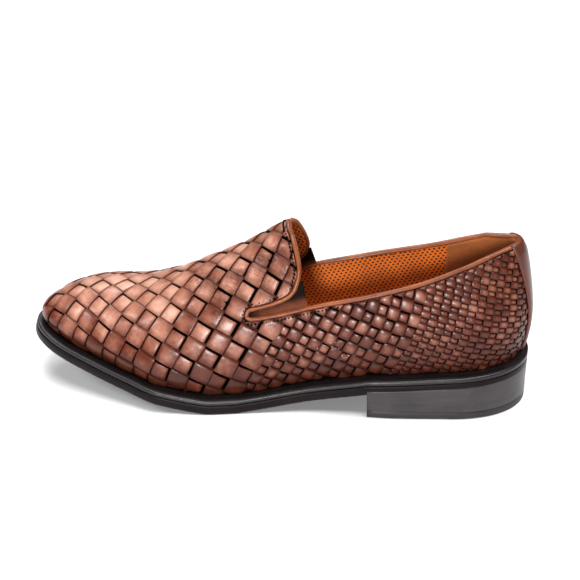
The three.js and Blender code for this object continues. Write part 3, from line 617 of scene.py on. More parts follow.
# materials, each built with one small kit of nodes
class NodeKit:
    def __init__(self, name):
        self.material = bpy.data.materials.new(name)
        self.material.use_nodes = True
        self.nodes, self.links = self.material.node_tree.nodes, self.material.node_tree.links
        self.shader = self.nodes["Principled BSDF"]
        self.coords = self.nodes.new("ShaderNodeTexCoord").outputs["Object"]

    def feed(self, socket, value):
        if isinstance(value, bpy.types.NodeSocket):
            self.links.new(value, socket)
        elif socket.type == "RGBA":
            socket.default_value = (*value, 1)
        else:
            socket.default_value = value

    def look(self, values):
        for name, value in values.items():
            self.feed(self.shader.inputs[name], value)

    def add(self, kind, **values):
        node = self.nodes.new("ShaderNode" + kind)
        for name, value in values.items():
            if name in node.inputs:
                self.feed(node.inputs[name], value)
            else:
                setattr(node, name, value)
        return node

    def calc(self, operation, a, b=None):
        node = self.add("Math", operation=operation)
        self.feed(node.inputs[0], a)
        if b is not None:
            self.feed(node.inputs[1], b)
        return node.outputs[0]

    def blend(self, a, b, share):
        return self.calc("ADD", self.calc("MULTIPLY", a, share), self.calc("MULTIPLY", b, 1 - share))

    def mark(self, name, output="Fac"):
        return self.add("Attribute", attribute_name=name).outputs[output]

    def noise(self, scale, detail, rough=0.6, coords=None):
        coords = coords or self.coords
        return self.add("TexNoise", Vector=coords, Scale=scale, Detail=detail, Roughness=rough).outputs[0]

    def ramp(self, factor, *stops):
        node = self.add("ValToRGB")
        while len(node.color_ramp.elements) < len(stops):
            node.color_ramp.elements.new(0.5)
        for element, (place, colour) in zip(node.color_ramp.elements, stops):
            element.position = place
            element.color = (*colour, 1)
        self.links.new(factor, node.inputs[0])
        return node.outputs[0]

    def grey(self, factor, low, high):
        return self.ramp(factor, (0.3, (low,) * 3), (0.7, (high,) * 3))

    def span(self, value, low, high, toLow=0.0, toHigh=1.0):
        limits = {"From Min": low, "From Max": high, "To Min": toLow, "To Max": toHigh}
        return self.add("MapRange", Value=value, **limits).outputs[0]

    def mix(self, factor, a, b):
        node = self.add("Mix", data_type="RGBA")
        for k, value in ((0, factor), (6, a), (7, b)):
            self.feed(node.inputs[k], value)
        return node.outputs[2]

    def bump(self, *heights):
        # each height is a socket, a strength and a distance in metres, stacked one on the other
        normal = None
        for height, strength, distance in heights:
            node = self.add("Bump", Height=height, Strength=strength, Distance=distance)
            if normal is not None:
                self.links.new(normal, node.inputs["Normal"])
            normal = node.outputs[0]
        self.links.new(normal, self.shader.inputs["Normal"])


strapLook = {
    # dark, deep and gap are painted shade: dark along the strap edges, deep where straps tuck under and at
    # the foot of the tone ramp, gap near black in the hidden parts
    "dark": (0.014, 0.003, 0.002),
    "deep": (0.045, 0.011, 0.006),
    "red": (0.090, 0.019, 0.009),
    "tan": (0.275, 0.111, 0.072),
    "pale": (0.480, 0.255, 0.184),
    "gap": (0.001, 0.001, 0.001),
    "rough": (0.22, 0.38),
    "specular": 0.17,
    "coat": 0.25,
    "coatRough": 0.2,
}
strapMarks = ("tone", "tint", "gap", "edge", "edgeShade", "dipShade", "wrinkle", "scuff")


def strapMaterial():
    look = strapLook
    kit = NodeKit("woven strap leather")
    calc = kit.calc
    tone, tint, gap, edge, edgeShade, dipShade, wrinkle, scuff = (kit.mark(name) for name in strapMarks)
    place = kit.mark("place", "Vector")
    cloud = kit.noise(60.0, 5.0)
    fine = kit.noise(1100.0, 3.0)
    fold = kit.noise(0.28, 3.0, 0.5, place)
    crack = kit.noise(0.75, 5.0, 0.6, place)
    ridge = calc("ABSOLUTE", calc("SUBTRACT", calc("MULTIPLY", crack, 2.0), 1.0))
    stretch = kit.add("Mapping", Vector=place, Scale=(1.5, 0.3, 1.0)).outputs[0]
    pleat = calc("MULTIPLY", kit.noise(0.6, 2.0, 0.5, stretch), wrinkle)
    speck = calc("GREATER_THAN", calc("MULTIPLY", kit.noise(900.0, 2.0, 0.5), scuff), 0.58)
    shade = tone
    for value, share in ((tint, 0.36), (cloud, 0.7), (fold, 0.35)):
        shade = calc("ADD", shade, calc("MULTIPLY", calc("SUBTRACT", value, 0.5), share))
    # painted shade and light along the wrinkles: the folds make the colour darker and lighter
    folds = calc("SUBTRACT", pleat, calc("MULTIPLY", wrinkle, 0.5))
    shade = calc("ADD", shade, calc("MULTIPLY", folds, 0.9))
    tones = ((0.0, "deep"), (0.33, "red"), (0.68, "tan"), (1.0, "pale"))
    colour = kit.ramp(shade, *((at, look[name]) for at, name in tones))
    # painted shade: darker where straps tuck under and in crease troughs, near black along strap edges and in
    # hidden parts; speck is pale scuffs
    paintedShade, shadedEdge = calc("MULTIPLY", dipShade, 0.85), calc("MULTIPLY", edge, edgeShade)
    for factor, name in ((paintedShade, "deep"), (shadedEdge, "dark"), (speck, "pale"), (gap, "gap")):
        colour = kit.mix(factor, colour, look[name])
    # the painted shade also takes away the reflections there
    dull = calc("MAXIMUM", gap, calc("MAXIMUM", edge, calc("MULTIPLY", dipShade, 0.75)))
    bare = calc("SUBTRACT", 1.0, dull)
    rough = kit.span(kit.blend(cloud, fine, 0.6), 0.3, 0.7, *look["rough"])
    kit.look({
        "Base Color": colour,
        "Roughness": calc("MAXIMUM", rough, gap),
        "Coat Weight": calc("MULTIPLY", bare, look["coat"]),
        "Coat Roughness": look["coatRough"],
        "Specular IOR Level": calc("MULTIPLY", bare, look["specular"]),
    })
    kit.bump((fold, 0.32, 0.0012), (pleat, 1.0, 0.0016), (ridge, 0.16, 0.0006), (fine, 0.2, 0.0002))
    return kit.material


def plainLeather(name, dark, light, rough, scale, bump, coat, specular):
    kit = NodeKit(name)
    cloud = kit.noise(scale * 0.25, 5.0)
    grain = kit.noise(scale * 6, 3.0)
    kit.look({
        "Base Color": kit.ramp(cloud, (0.3, dark), (0.72, light)),
        "Roughness": kit.grey(grain, rough - 0.07, rough + 0.1),
        "Specular IOR Level": specular,
        "Coat Weight": coat,
        "Coat Roughness": 0.3,
    })
    kit.bump((cloud, bump, 0.0005), (grain, bump, 0.0002))
    return kit.material


liningLook = {
    "light": (0.74, 0.165, 0.012),
    "deep": (0.46, 0.095, 0.007),
    "hole": (0.02, 0.005, 0.002),
    "pitch": 2.9,
    "rowsPerPitch": 1.5,
    "turn": -12.0,
    "holeRadius": 0.22,
    "rough": 0.62,
}


def liningMaterial():
    look = liningLook
    kit = NodeKit("perforated lining")
    calc = kit.calc
    turn = (0, math.radians(look["turn"]), 0)
    turned = kit.add("Mapping", Vector=kit.coords, Rotation=turn, Scale=(1000.0 / look["pitch"],) * 3)
    split = kit.add("SeparateXYZ", Vector=turned.outputs[0])
    up = calc("MULTIPLY", split.outputs[2], look["rowsPerPitch"])
    shift = calc("MULTIPLY", calc("MODULO", calc("FLOOR", up), 2.0), 0.5)
    along = calc("FRACT", calc("ADD", split.outputs[0], calc("ADD", shift, 500.0)))
    du = calc("SUBTRACT", along, 0.5)
    dv = calc("DIVIDE", calc("SUBTRACT", calc("FRACT", up), 0.5), look["rowsPerPitch"])
    far = calc("SQRT", calc("ADD", calc("MULTIPLY", du, du), calc("MULTIPLY", dv, dv)))
    hole = kit.span(far, look["holeRadius"] + 0.05, look["holeRadius"] - 0.03)
    colour = kit.ramp(kit.noise(45.0, 5.0), (0.3, look["deep"]), (0.7, look["light"]))
    kit.look({"Base Color": kit.mix(hole, colour, look["hole"]), "Roughness": look["rough"]})
    kit.bump((calc("SUBTRACT", 1.0, hole), 0.6, 0.0004), (kit.noise(700.0, 3.0), 0.2, 0.0002))
    return kit.material


suedeLook = {"deep": (0.17, 0.042, 0.005), "light": (0.41, 0.120, 0.017), "rough": 0.9}


def suedeMaterial():
    kit = NodeKit("heel grip suede")
    nap = kit.noise(1400.0, 3.0, 0.7)
    both = kit.blend(nap, kit.noise(90.0, 4.0), 0.45)
    kit.look({
        "Base Color": kit.ramp(both, (0.3, suedeLook["deep"]), (0.7, suedeLook["light"])),
        "Roughness": suedeLook["rough"],
        "Sheen Weight": 0.15,
        "Sheen Roughness": 0.5,
    })
    kit.bump((nap, 0.5, 0.0004))
    return kit.material


elasticLook = {
    "deep": (0.070, 0.018, 0.009),
    "light": (0.160, 0.046, 0.022),
    "shade": (0.004, 0.002, 0.001),
    "rough": 0.6,
    "specular": 0.05,
}


def elasticMaterial():
    look = elasticLook
    kit = NodeKit("elastic gore")
    ribs = kit.add("TexWave", Vector=kit.coords, Scale=420.0, Distortion=1.2, Detail=2.0, bands_direction="Z")
    cloud = kit.noise(120.0, 4.0)
    colour = kit.ramp(cloud, (0.3, look["deep"]), (0.7, look["light"]))
    kit.look({
        "Base Color": kit.mix(kit.mark("shade"), colour, look["shade"]),
        "Roughness": look["rough"],
        "Specular IOR Level": look["specular"],
    })
    kit.bump((ribs.outputs[1], 0.3, 0.0002), (cloud, 0.2, 0.0004))
    return kit.material


def edgeLeather(name, dark, light, rough, specular, layers):
    kit = NodeKit(name)
    cloud = kit.noise(60.0, 5.0)
    stretch = kit.add("Mapping", Vector=kit.coords, Scale=(60, 60, 900)).outputs[0]
    streak = kit.noise(1.0, 3.0, 0.55, stretch)
    kit.look({
        "Base Color": kit.ramp(kit.blend(cloud, streak, 0.6), (0.32, dark), (0.7, light)),
        "Roughness": kit.grey(streak, rough - 0.06, rough + 0.1),
        "Specular IOR Level": specular,
    })
    kit.bump((streak, 0.12 + layers, 0.0003), (cloud, 0.15, 0.0004))
    return kit.material


# dark and light tone, roughness, scale of the grain, bump, coat and specular
leatherLooks = {
    "binding leather": ((0.10, 0.023, 0.008), (0.25, 0.070, 0.024), 0.26, 240.0, 0.3, 0.2, 0.2),
    "back strip leather": ((0.040, 0.010, 0.006), (0.10, 0.027, 0.015), 0.32, 150.0, 0.25, 0.2, 0.3),
    # the backing is near black, painted shade for the gaps in the weave
    "backing in painted shade": ((0.006, 0.003, 0.002), (0.014, 0.006, 0.004), 0.8, 200.0, 0.2, 0.0, 0.03),
    "welt leather": ((0.004, 0.003, 0.003), (0.012, 0.008, 0.009), 0.34, 260.0, 0.5, 0.0, 0.4),
    "waxed thread": ((0.003, 0.002, 0.002), (0.006, 0.004, 0.004), 0.8, 500.0, 0.4, 0.0, 0.05),
    "insole leather": ((0.36, 0.13, 0.022), (0.52, 0.20, 0.036), 0.5, 160.0, 0.2, 0.05, 0.3),
}
# dark and light tone, roughness, specular and how much the layers stand out
edgeLooks = {
    "sole edge": ((0.002, 0.001, 0.001), (0.009, 0.004, 0.005), 0.36, 0.11, 0.0),
    "heel stack": ((0.016, 0.012, 0.013), (0.042, 0.034, 0.036), 0.36, 0.4, 0.1),
    "heel rubber": ((0.010, 0.008, 0.009), (0.024, 0.019, 0.020), 0.45, 0.35, 0.0),
}
strapLeather = strapMaterial()
lining = liningMaterial()
suede = suedeMaterial()
elastic = elasticMaterial()
leathers = {name: plainLeather(name, *row) for name, row in leatherLooks.items()}
leathers.update({name: edgeLeather(name, *row) for name, row in edgeLooks.items()})
print("materials made")


# straps: each runs over and under the ones that cross it
strapShape = {
    "thickness": 0.8,
    "over": -1.3,  # the straps stop this far short of the opening, under the binding
    "dive": 0.72,  # half the rise and fall of a big strap
    "hidden": [(1.3, -1.0), (1.7, -1.0), (1.86, -0.75), (1.94, -0.4), (2.0, 0.0)],
    "diveRun": 0.045,
    "waver": 0.022,  # unevenness of the edges, as a share of a lane
}
# flat wide straps of the vamp: lanes are shares, rise is the height through one cell,
# start and rim say how the painted shade of the edges fades
vampWeave = {
    "scale": 1.0, "across": 9, "edgeDrop": 0.3, "edgePower": 4.0, "edgeShade": 0.6, "highlightAndPolish": 0.26,
    "dipShade": 0.95, "loose": 0.05, "crown": (0.1, 0.4, 0.8, 1.0, 0.8), "crownAcross": 0.3,
    "flat": {"from": 0.11, "to": 0.99, "stop": 0.85},
    "steep": {"from": -0.02, "to": 1.02, "stop": 0.95},
    "rise": [(0.0, 0.1), (0.03, 0.5), (0.08, 0.84), (0.16, 0.95), (0.3, 1.0), (0.5, 1.0), (0.7, 0.97)],
    "start": [(0.0, 1.0), (0.04, 0.95), (0.08, 0.3), (0.13, 0.0)],
    "rim": [(0.86, 0.0), (0.95, 0.3), (1.0, 1.0)],
}
# rounder straps of the quarters
sideWeave = {
    "scale": 0.85, "across": 7, "edgeDrop": 0.55, "edgePower": 2.6, "edgeShade": 0.9, "highlightAndPolish": 0.3,
    "dipShade": 0.35, "loose": 0.0, "crown": (0.0, 0.7, 1.0, 0.8, 0.2), "crownAcross": 0.5,
    "flat": {"from": 0.18, "to": 0.94, "stop": 0.85},
    "steep": {"from": -0.04, "to": 1.03, "stop": 0.95},
    "rise": [(0.0, 0.0), (0.06, 0.34), (0.16, 0.68), (0.3, 0.9), (0.46, 1.0), (0.62, 0.98), (0.76, 0.9)],
    "start": [(0.0, 1.0), (0.04, 0.8), (0.12, 0.35), (0.28, 0.0)],
    "rim": [(0.6, 0.0), (0.86, 0.3), (0.95, 0.7), (1.0, 1.0)],
}
heelWeave = {**sideWeave, "scale": 0.68, "across": 6}

# creases by the throat: the wall follows them wider, their troughs get painted shade and their ridges a
# painted highlight
creaseShape = {"depth": 1.4, "wallSpread": 1.8, "fullShadeAt": 0.9, "paintedShade": 0.65, "pale": 0.5}
# ends along the shoe and up it, depth (a ridge is negative) and breadth
creaseColumns = ("fromX", "fromZ", "toX", "toZ", "depth", "breadth")
creaseRows = [
    (4.0, 88.1, -4.7, 87.8, 0.8, 2.0),
    (-6.1, 92.6, -11.6, 92.0, 0.5, 2.0),
    (6.2, 85.6, -2.0, 84.6, 0.5, 1.8),
    (-3.9, 82.9, -14.0, 82.3, 0.6, 1.4),
    (-3.9, 79.6, -14.0, 79.2, -0.3, 1.6),
    (0.8, 73.4, -3.9, 71.7, 0.5, 2.2),
    (26.1, 65.8, 19.3, 64.4, 0.7, 1.8),
    (20.6, 75.9, 10.9, 78.2, 0.45, 1.2),
    (16.8, 79.8, 10.5, 80.0, 0.6, 2.0),
    (39.8, 75.0, 32.9, 74.3, 0.4, 1.0),
    (42.5, 71.7, 37.7, 70.2, 0.45, 1.0),
]
# fine wrinkles and scuffs: place along the shoe and up it, and reach
wrinkleRows = [(0.0, 80.0, 8.0), (16.0, 77.0, 7.0), (37.0, 74.5, 6.0), (40.0, 71.0, 5.0), (21.0, 71.0, 6.0)]
scuffRows = [(-41.0, 43.7, 9.0), (-48.0, 38.0, 8.0), (-30.0, 40.0, 7.0)]


def alongFoot(columns, side):
    x, z = np.array(columns).T
    return sideOf(x, z, side)


def creaseLift(p, spread=1.0):
    lift = np.zeros(len(p))
    for row in creaseRows:
        c = dict(zip(creaseColumns, row))
        for side in (1, -1):
            start, end = alongFoot([(c["fromX"], c["fromZ"]), (c["toX"], c["toZ"])], side)
            run = end - start
            u = np.clip((p - start) @ run / (run @ run), 0, 1)
            far = np.linalg.norm(p - start - u[:, None] * run, axis=1)
            lift -= c["depth"] * creaseShape["depth"] * np.exp(-(far / c["breadth"] / spread) ** 2)
    return lift


def nearRows(p, rows, sides=(1, -1)):
    near = np.zeros(len(p))
    for x, z, reach in rows:
        for side in sides:
            far = np.linalg.norm(p - alongFoot([(x, z)], side)[0], axis=1)
            near = np.maximum(near, np.exp(-(far / reach) ** 2))
    return near


toneShape = {"base": 0.06, "top": 0.44, "high": 0.24, "frontFrom": -50.0, "frontRun": 60.0, "highRun": 26.0}
dipShape = {"toe": 0.35, "throat": 0.65, "from": 85.0, "run": 60.0}


def toneAt(p, n):
    # rosy and pale on top of the vamp, where the surface faces up: painted top light; redder and darker low
    # down and towards the heel
    t = toneShape
    up = np.clip(n[:, 2], 0, 1)
    front = np.clip((p[:, 0] - t["frontFrom"]) / t["frontRun"], 0, 1)
    high = np.clip((p[:, 2] - soleTop(p[:, 0])) / t["highRun"], 0, 1)
    return t["base"] + t["top"] * front * up + t["high"] * high


def dipAt(p):
    # painted shade stronger by the throat and the sides than on the toe
    d = dipShape
    return d["toe"] + d["throat"] * np.clip((d["from"] - p[:, 0]) / d["run"], 0, 1)


def columnsOf(rows):
    return np.array(rows, float).T


def strapSheet(grid, strap, first, last, family, zone):
    sizes, scale = strapShape, zone["scale"]
    lane = zone["steep" if family else "flat"]
    stop, run = lane["stop"], sizes["diveRun"]
    drop = [(stop - 0.03, 0.8), (stop, 0.6), (stop + run / 2, -0.5), (stop + run, -1.0)]
    phases, levels = columnsOf(zone["rise"] + drop + sizes["hidden"])
    isOver = lambda k: (k + strap + family) % 2 == 0
    u = [first, last]
    for k in range(first - 1, last + 1):
        if isOver(k):
            u += list(k + phases[:-1])
    u = np.unique(np.round([x for x in u if first <= x <= last], 5))
    k = np.minimum(u.astype(int), last - 1)
    phase = u - k + np.where(isOver(k), 0, 1)
    height = -sizes["dive"] * scale * (1 - np.interp(phase, phases, levels))
    v = np.concatenate([[0.0, 0.04], np.linspace(0.14, 0.86, zone["across"] - 3), [0.96, 1.0]])
    share = (u - k)[:, None, None]
    near = grid[k, strap][:, None] * (1 - share) + grid[k + 1, strap][:, None] * share
    far = grid[k, strap + 1][:, None] * (1 - share) + grid[k + 1, strap + 1][:, None] * share
    knots = np.arange(first, last + 1)
    waver = [np.interp(u, knots, dice.normal(0, sizes["waver"], len(knots)))[:, None] for _ in range(2)]
    # the weave opens a little from the toe to the throat
    loose = zone["loose"] * np.clip((70 - near[:, 0, 0]) / 50, 0, 1)[:, None]
    low, high = lane["from"] + loose + waver[0], lane["to"] + waver[1]
    w = (low + (high - low) * v[None, :])[..., None]
    p = near * (1 - w) + far * w
    off = np.abs(2 * v - 1)
    fall = zone["edgeDrop"] * scale * off ** zone["edgePower"]
    # the hidden part of a strap, past where it dives, is painted near black as shade
    gap = np.interp(phase, [0, stop, stop + run / 2, 1.9, 2.0], [0, 0, 1, 1, 0.4])
    # painted shade along the strap edges, where a strap comes out from under another and where it dives
    starts, starting = columnsOf(zone["start"] + [(stop - 0.06, 0.0), (stop, 0.7)])
    rims, rimming = columnsOf(zone["rim"])
    edge = np.maximum(np.interp(phase, starts, starting)[:, None], np.interp(off, rims, rimming)[None, :])
    # the palest part of a cell, along the strap and across it: polish on its raised middle and a painted
    # highlight
    top = 0.5 if family else zone["crownAcross"]
    away = np.abs(v - top) / max(top, 1 - top)
    crown = np.interp(phase, [0, 0.2, 0.45, 0.7, stop], zone["crown"])[:, None] * (1 - away ** 2)[None, :]
    tints = dice.random(last - first + 1) * 0.75 + dice.random() * 0.25
    depths = 0.3 + 0.7 * dice.random(last - first + 1)
    shape = p.shape[:2]
    # painted shade where a strap comes out from under another, and along the lower edge of a flat one
    dipShade = np.interp(phase, [0, 0.15, 0.45], [1, 0.6, 0])[:, None] * (0.6 + 0.4 * off)[None, :]
    if not family:
        dipShade = np.maximum(dipShade * 0.5, np.interp(v, [0.5, 0.85, 1], [0, 0.7, 1])[None, :])
    length = np.linalg.norm(grid[first + 1, strap] - grid[first, strap])
    breadth = np.linalg.norm(grid[first, strap + 1] - grid[first, strap])
    along, over = u[:, None] * length, v[None, :] * breadth
    place = np.stack(np.broadcast_arrays(along, over, dice.random() * 300.0), -1)
    return {
        "p": p, "height": height[:, None] - fall[None, :], "place": place,
        "tint": np.broadcast_to(tints[k - first][:, None], shape),
        "gap": np.broadcast_to(gap[:, None], shape),
        "edge": edge, "edgeShade": np.full(shape, zone["edgeShade"]), "highlightAndPolish": (crown - 0.45) * zone["highlightAndPolish"],
        "dipShade": dipShade * (depths[k - first] * zone["dipShade"])[:, None],
    }


def weaveStraps(bm, lattice, layers, zone):
    valid = ~np.isnan(lattice[..., 0])
    cell = valid[:-1, :-1] & valid[1:, :-1] & valid[:-1, 1:] & valid[1:, 1:]
    sheets = []
    for family in (0, 1):
        grid = lattice if family == 0 else lattice.transpose(1, 0, 2)
        here = cell if family == 0 else cell.T
        for strap in range(here.shape[1]):
            ends = np.flatnonzero(np.diff(np.concatenate([[0], here[:, strap].astype(int), [0]])))
            for first, last in zip(ends[::2], ends[1::2]):
                sheets.append(strapSheet(grid, strap, first, last, family, zone))
    join = lambda key: np.concatenate([s[key].reshape(-1, *s[key].shape[2:]) for s in sheets])
    landed = landOnLast(join("p"), 4)
    normal = lastNormal(landed)
    crease = creaseLift(landed)
    raised = landed + normal * (join("height") + crease)[:, None]
    # crease troughs get painted shade and crease ridges a painted highlight; the tone also carries the
    # painted top light and the painted highlight of each cell
    trough = np.clip(-crease / creaseShape["fullShadeAt"], 0, 1)
    ridge = np.clip(crease, 0, 1)
    values = {key: join(key) for key in ("tint", "gap", "edge", "edgeShade")}
    values["tone"] = toneAt(landed, normal) + join("highlightAndPolish") + ridge * creaseShape["pale"]
    values["dipShade"] = np.maximum(join("dipShade") * dipAt(landed), trough * creaseShape["paintedShade"])
    values["wrinkle"] = nearRows(landed, wrinkleRows)
    values["scuff"] = nearRows(landed, scuffRows, (1,))
    place = join("place")
    at = 0
    for sheet in sheets:
        shape = sheet["p"].shape[:2]
        made = placeGrid(bm, raised[at:at + shape[0] * shape[1]].reshape(*shape, 3))
        for k, vertex in enumerate(made, at):
            vertex[layers["place"]] = place[k]
            for key, value in values.items():
                vertex[layers[key]] = value[k]
        at += len(made)


def wovenPiece(name, lattice, zone):
    bm = bmesh.new()
    layers = {key: bm.verts.layers.float.new(key) for key in strapMarks}
    layers["place"] = bm.verts.layers.float_vector.new("place")
    weaveStraps(bm, lattice, layers, zone)
    trimToLast(bm, strapShape["over"])
    piece = newPiece(name, bm, [strapLeather])
    thicken(piece, strapShape["thickness"] * zone["scale"])
    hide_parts("upper")


def layQuarters(net):
    w = weaveSizes
    outerStarts = closer(strapStarts(net, 1), w["midShare"])
    outerMid, ends = quarterLattice(1, outerStarts, w["midStep"], w["midCount"])
    outerFine, _ = quarterLattice(1, closer(ends, w["fineShare"]), w["fineStep"], w["fineCount"])
    innerStarts = strapStarts(net, -1, extra=12, clear=-8.0, below=1)
    innerBig, ends = quarterLattice(-1, innerStarts, w["width"], w["innerBigCount"], reach=15.0, foot=13.0)
    innerStarts = closer(ends, w["innerShare"])
    innerMid, _ = quarterLattice(-1, innerStarts, w["innerMidStep"], w["innerMidCount"], reach=10.0)
    return outerMid, outerFine, innerBig, innerMid


net = vampNet()
outerMid, outerFine, innerBig, innerMid = layQuarters(net)
print("weave laid out")
wovenPiece("vampStraps", vampLattice(net), vampWeave)
wovenPiece("outerWaistStraps", outerMid[:, ::-1], sideWeave)
wovenPiece("outerHeelStraps", outerFine[:, ::-1], heelWeave)
wovenPiece("innerWaistStraps", innerBig[:, ::-1], vampWeave)
wovenPiece("innerHeelStraps", innerMid[:, ::-1], sideWeave)
print("straps woven")


# the wall behind the straps, its outer face near black as painted shade in the gaps of the weave, and its
# lining
wallShape = {
    "depth": 1.5, "thickness": 1.2, "columns": 110, "fan": 40, "rows": 64, "over": 0.1,
    "from": -104.0, "to": 96.0, "raysFrom": 2.0, "skirt": 6.0,
}


def domeGrid(depth):
    w = wallShape
    low, high = w["from"], w["to"]
    xs = np.linspace(low, high, w["columns"])
    half = math.pi / 2
    toe = np.linspace(half, -half, w["fan"])[1:-1]
    heel = np.linspace(-half, -3 * half, w["fan"])[1:-1]
    starts = np.concatenate([xs, np.full(len(toe), high), xs[::-1], np.full(len(heel), low), xs[:1]])
    turns = np.concatenate([np.full(len(xs), half), toe, np.full(len(xs), -half), heel, [half]])
    lifts = np.linspace(0, half, w["rows"])
    x = np.broadcast_to(starts, (len(lifts), len(starts)))
    turn = np.broadcast_to(turns, x.shape)
    lift = np.broadcast_to(lifts[:, None], x.shape)
    origin = np.stack([x, lastCurve["ridge"](x), soleTop(x) + w["raysFrom"]], -1)
    ray = np.stack([np.cos(turn) * np.cos(lift), np.sin(turn) * np.cos(lift), np.sin(lift)], -1)
    at = lambda d: origin + ray * d[..., None]
    crest = at(bisect(lambda d: lastField(at(d)), np.zeros(x.shape), np.full(x.shape, 160.0)))
    crease = np.minimum(creaseLift(crest.reshape(-1, 3), creaseShape["wallSpread"]), 0).reshape(x.shape)
    sunk = crest + lastNormal(crest) * (crease - depth)[..., None]
    foot = sunk[0].copy()
    foot[:, 2] = soleTop(foot[:, 0]) - w["skirt"]
    return np.concatenate([foot[None], sunk])


def upperWall():
    bm = bmesh.new()
    placeGrid(bm, domeGrid(wallShape["depth"]))
    bmesh.ops.remove_doubles(bm, verts=bm.verts, dist=1e-6)
    trimToLast(bm, wallShape["over"])
    bmesh.ops.recalc_face_normals(bm, faces=bm.faces)
    piece = newPiece("upperWall", bm, [leathers["backing in painted shade"], lining])
    solid = thicken(piece, wallShape["thickness"])
    solid.material_offset = 1
    solid.material_offset_rim = 1
    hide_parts("upper")


upperWall()

gripShape = {
    "reach": 62.0, "depth": 2.95, "low": 34.0, "below": 0.4, "thickness": 0.7,
    "columns": 80, "rows": 26, "measuredAt": 70.0,
}


def topAlong(x, side):
    # height of the opening's edge along the quarters
    edge = openingEdges[side]
    edge = edge[edge[:, 0] < -40][::-1]
    return np.interp(x, edge[:, 0], edge[:, 1])


def heelGrip():
    g = gripShape
    s = np.linspace(-g["reach"], g["reach"], g["columns"])
    x = quarterPoint(s, np.full(len(s), g["measuredAt"]))[:, 0]
    tall = np.where(s >= 0, topAlong(x, 1), topAlong(x, -1)) - g["below"] - g["low"]
    grid = np.array([quarterPoint(s, g["low"] + tall * share) for share in np.linspace(0, 1, g["rows"])])
    grid = grid - lastNormal(grid) * g["depth"]
    piece = gridPiece("heelGrip", grid, [suede])
    thicken(piece, g["thickness"], 0)


heelGrip()
print("wall and lining made")


# binding round the opening
bindingShape = {
    "breadth": 1.3, "bulge": 1.75, "clear": 0.2, "wall": 1.3, "stations": 480, "sides": 14,
    "throat": (-6.0, 0.0, 6.0), "throatBend": 0.16,
    "back": (12.0, 6.0, 0.0, -6.0, -12.0), "backDrop": 0.6, "backBend": 0.05,
}


def edgePath(side, clear):
    edge = openingEdges[side]
    ahead = unit(np.gradient(edge, axis=0))
    x, z = edge[:, 0] + ahead[:, 1] * clear, edge[:, 1] - ahead[:, 0] * clear
    keep = (z < topOver(x, lastCurve["ridge"](x)) - 1.5) & (x > lastSizes["heelRoundFrom"] - 20)
    return sideOf(x[keep], z[keep], side)


def openingPath(clear):
    b = bindingShape
    throat = openingSizes["tab"][0][0] - clear
    across = np.array(b["throat"])
    x, y = throat - np.abs(across) * b["throatBend"], float(lastCurve["ridge"](throat)) + across
    crossing = np.stack([x, y, topOver(x, y)], -1)
    s = np.array(b["back"])
    back = quarterPoint(s, openingSizes["topLine"][-1][1] + clear - b["backDrop"] - b["backBend"] * np.abs(s))
    outer, inner = edgePath(1, clear)[::4], edgePath(-1, clear)[::4]
    loop = np.concatenate([crossing, outer, back, inner[::-1]])
    return evenly(curveThrough(loop, 8, True), b["stations"], True)


def aheadOf(loop):
    return unit(np.roll(loop, -1, 0) - np.roll(loop, 1, 0))


def collarBinding():
    b = bindingShape
    path = openingPath(b["clear"])
    ahead = aheadOf(path)
    n = lastNormal(landOnLast(path))
    across = unit(np.cross(ahead, n))
    out = np.cross(across, ahead)
    heart = path - n * b["wall"]
    rows = []
    for angle in np.linspace(0, 2 * math.pi, b["sides"] + 1):
        rows.append(heart + across * b["breadth"] * math.cos(angle) + out * b["bulge"] * math.sin(angle))
    grid = np.array(rows)
    grid = np.concatenate([grid, grid[:, :1]], 1)
    piece = gridPiece("collarBinding", grid, [leathers["binding leather"]], wrap=True)
    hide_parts("collar_binding")


collarBinding()


def spaced(loop, pitch):
    run = np.linalg.norm(np.roll(loop, -1, 0) - loop, axis=1).sum()
    return evenly(loop, int(run / pitch), True)


def sewRow(name, path, normal, stitch, keep):
    # one low round slanting stitch at each place that is kept
    ahead = aheadOf(path)
    turn = math.radians(stitch["turn"])
    slant = unit(ahead * math.cos(turn) + unit(np.cross(normal, ahead)) * math.sin(turn))
    size = Matrix.Diagonal((*[s * mm for s in stitch["size"]], 1))
    places = path + normal * stitch["lift"]
    bm = bmesh.new()
    for p, a, n in zip(places[keep], slant[keep], normal[keep]):
        shape = Matrix.Translation(p * mm) @ axes(a, np.cross(n, a), n) @ size
        bmesh.ops.create_uvsphere(bm, u_segments=8, v_segments=5, radius=0.5, matrix=shape)
    return newPiece(name, bm, [leathers["waxed thread"]])


bindingStitch = {
    "pitch": 2.2, "inside": -2.3, "size": (2.1, 1.3, 1.0), "turn": 28.0, "back": -45.0, "lift": 0.3,
}


def bindingStitches():
    b = bindingStitch
    path = landOnLast(spaced(openingPath(b["inside"]), b["pitch"]))
    piece = sewRow("bindingStitches", path, lastNormal(path), b, path[:, 0] > b["back"])


bindingStitches()
print("binding made")


# elastic gores behind the notches, with painted shadow close under the tab and in the point of the notch
goreShape = {
    "depth": 2.35, "thickness": 0.5, "low": ((17, 53), (-27, 60)), "high": ((3, 69), (-22, 79)),
    "columns": 24, "rows": 14,
    "pointFrom": -4.0, "pointRun": 12.0, "tabFrom": 0.36, "tabRun": 0.2,
}


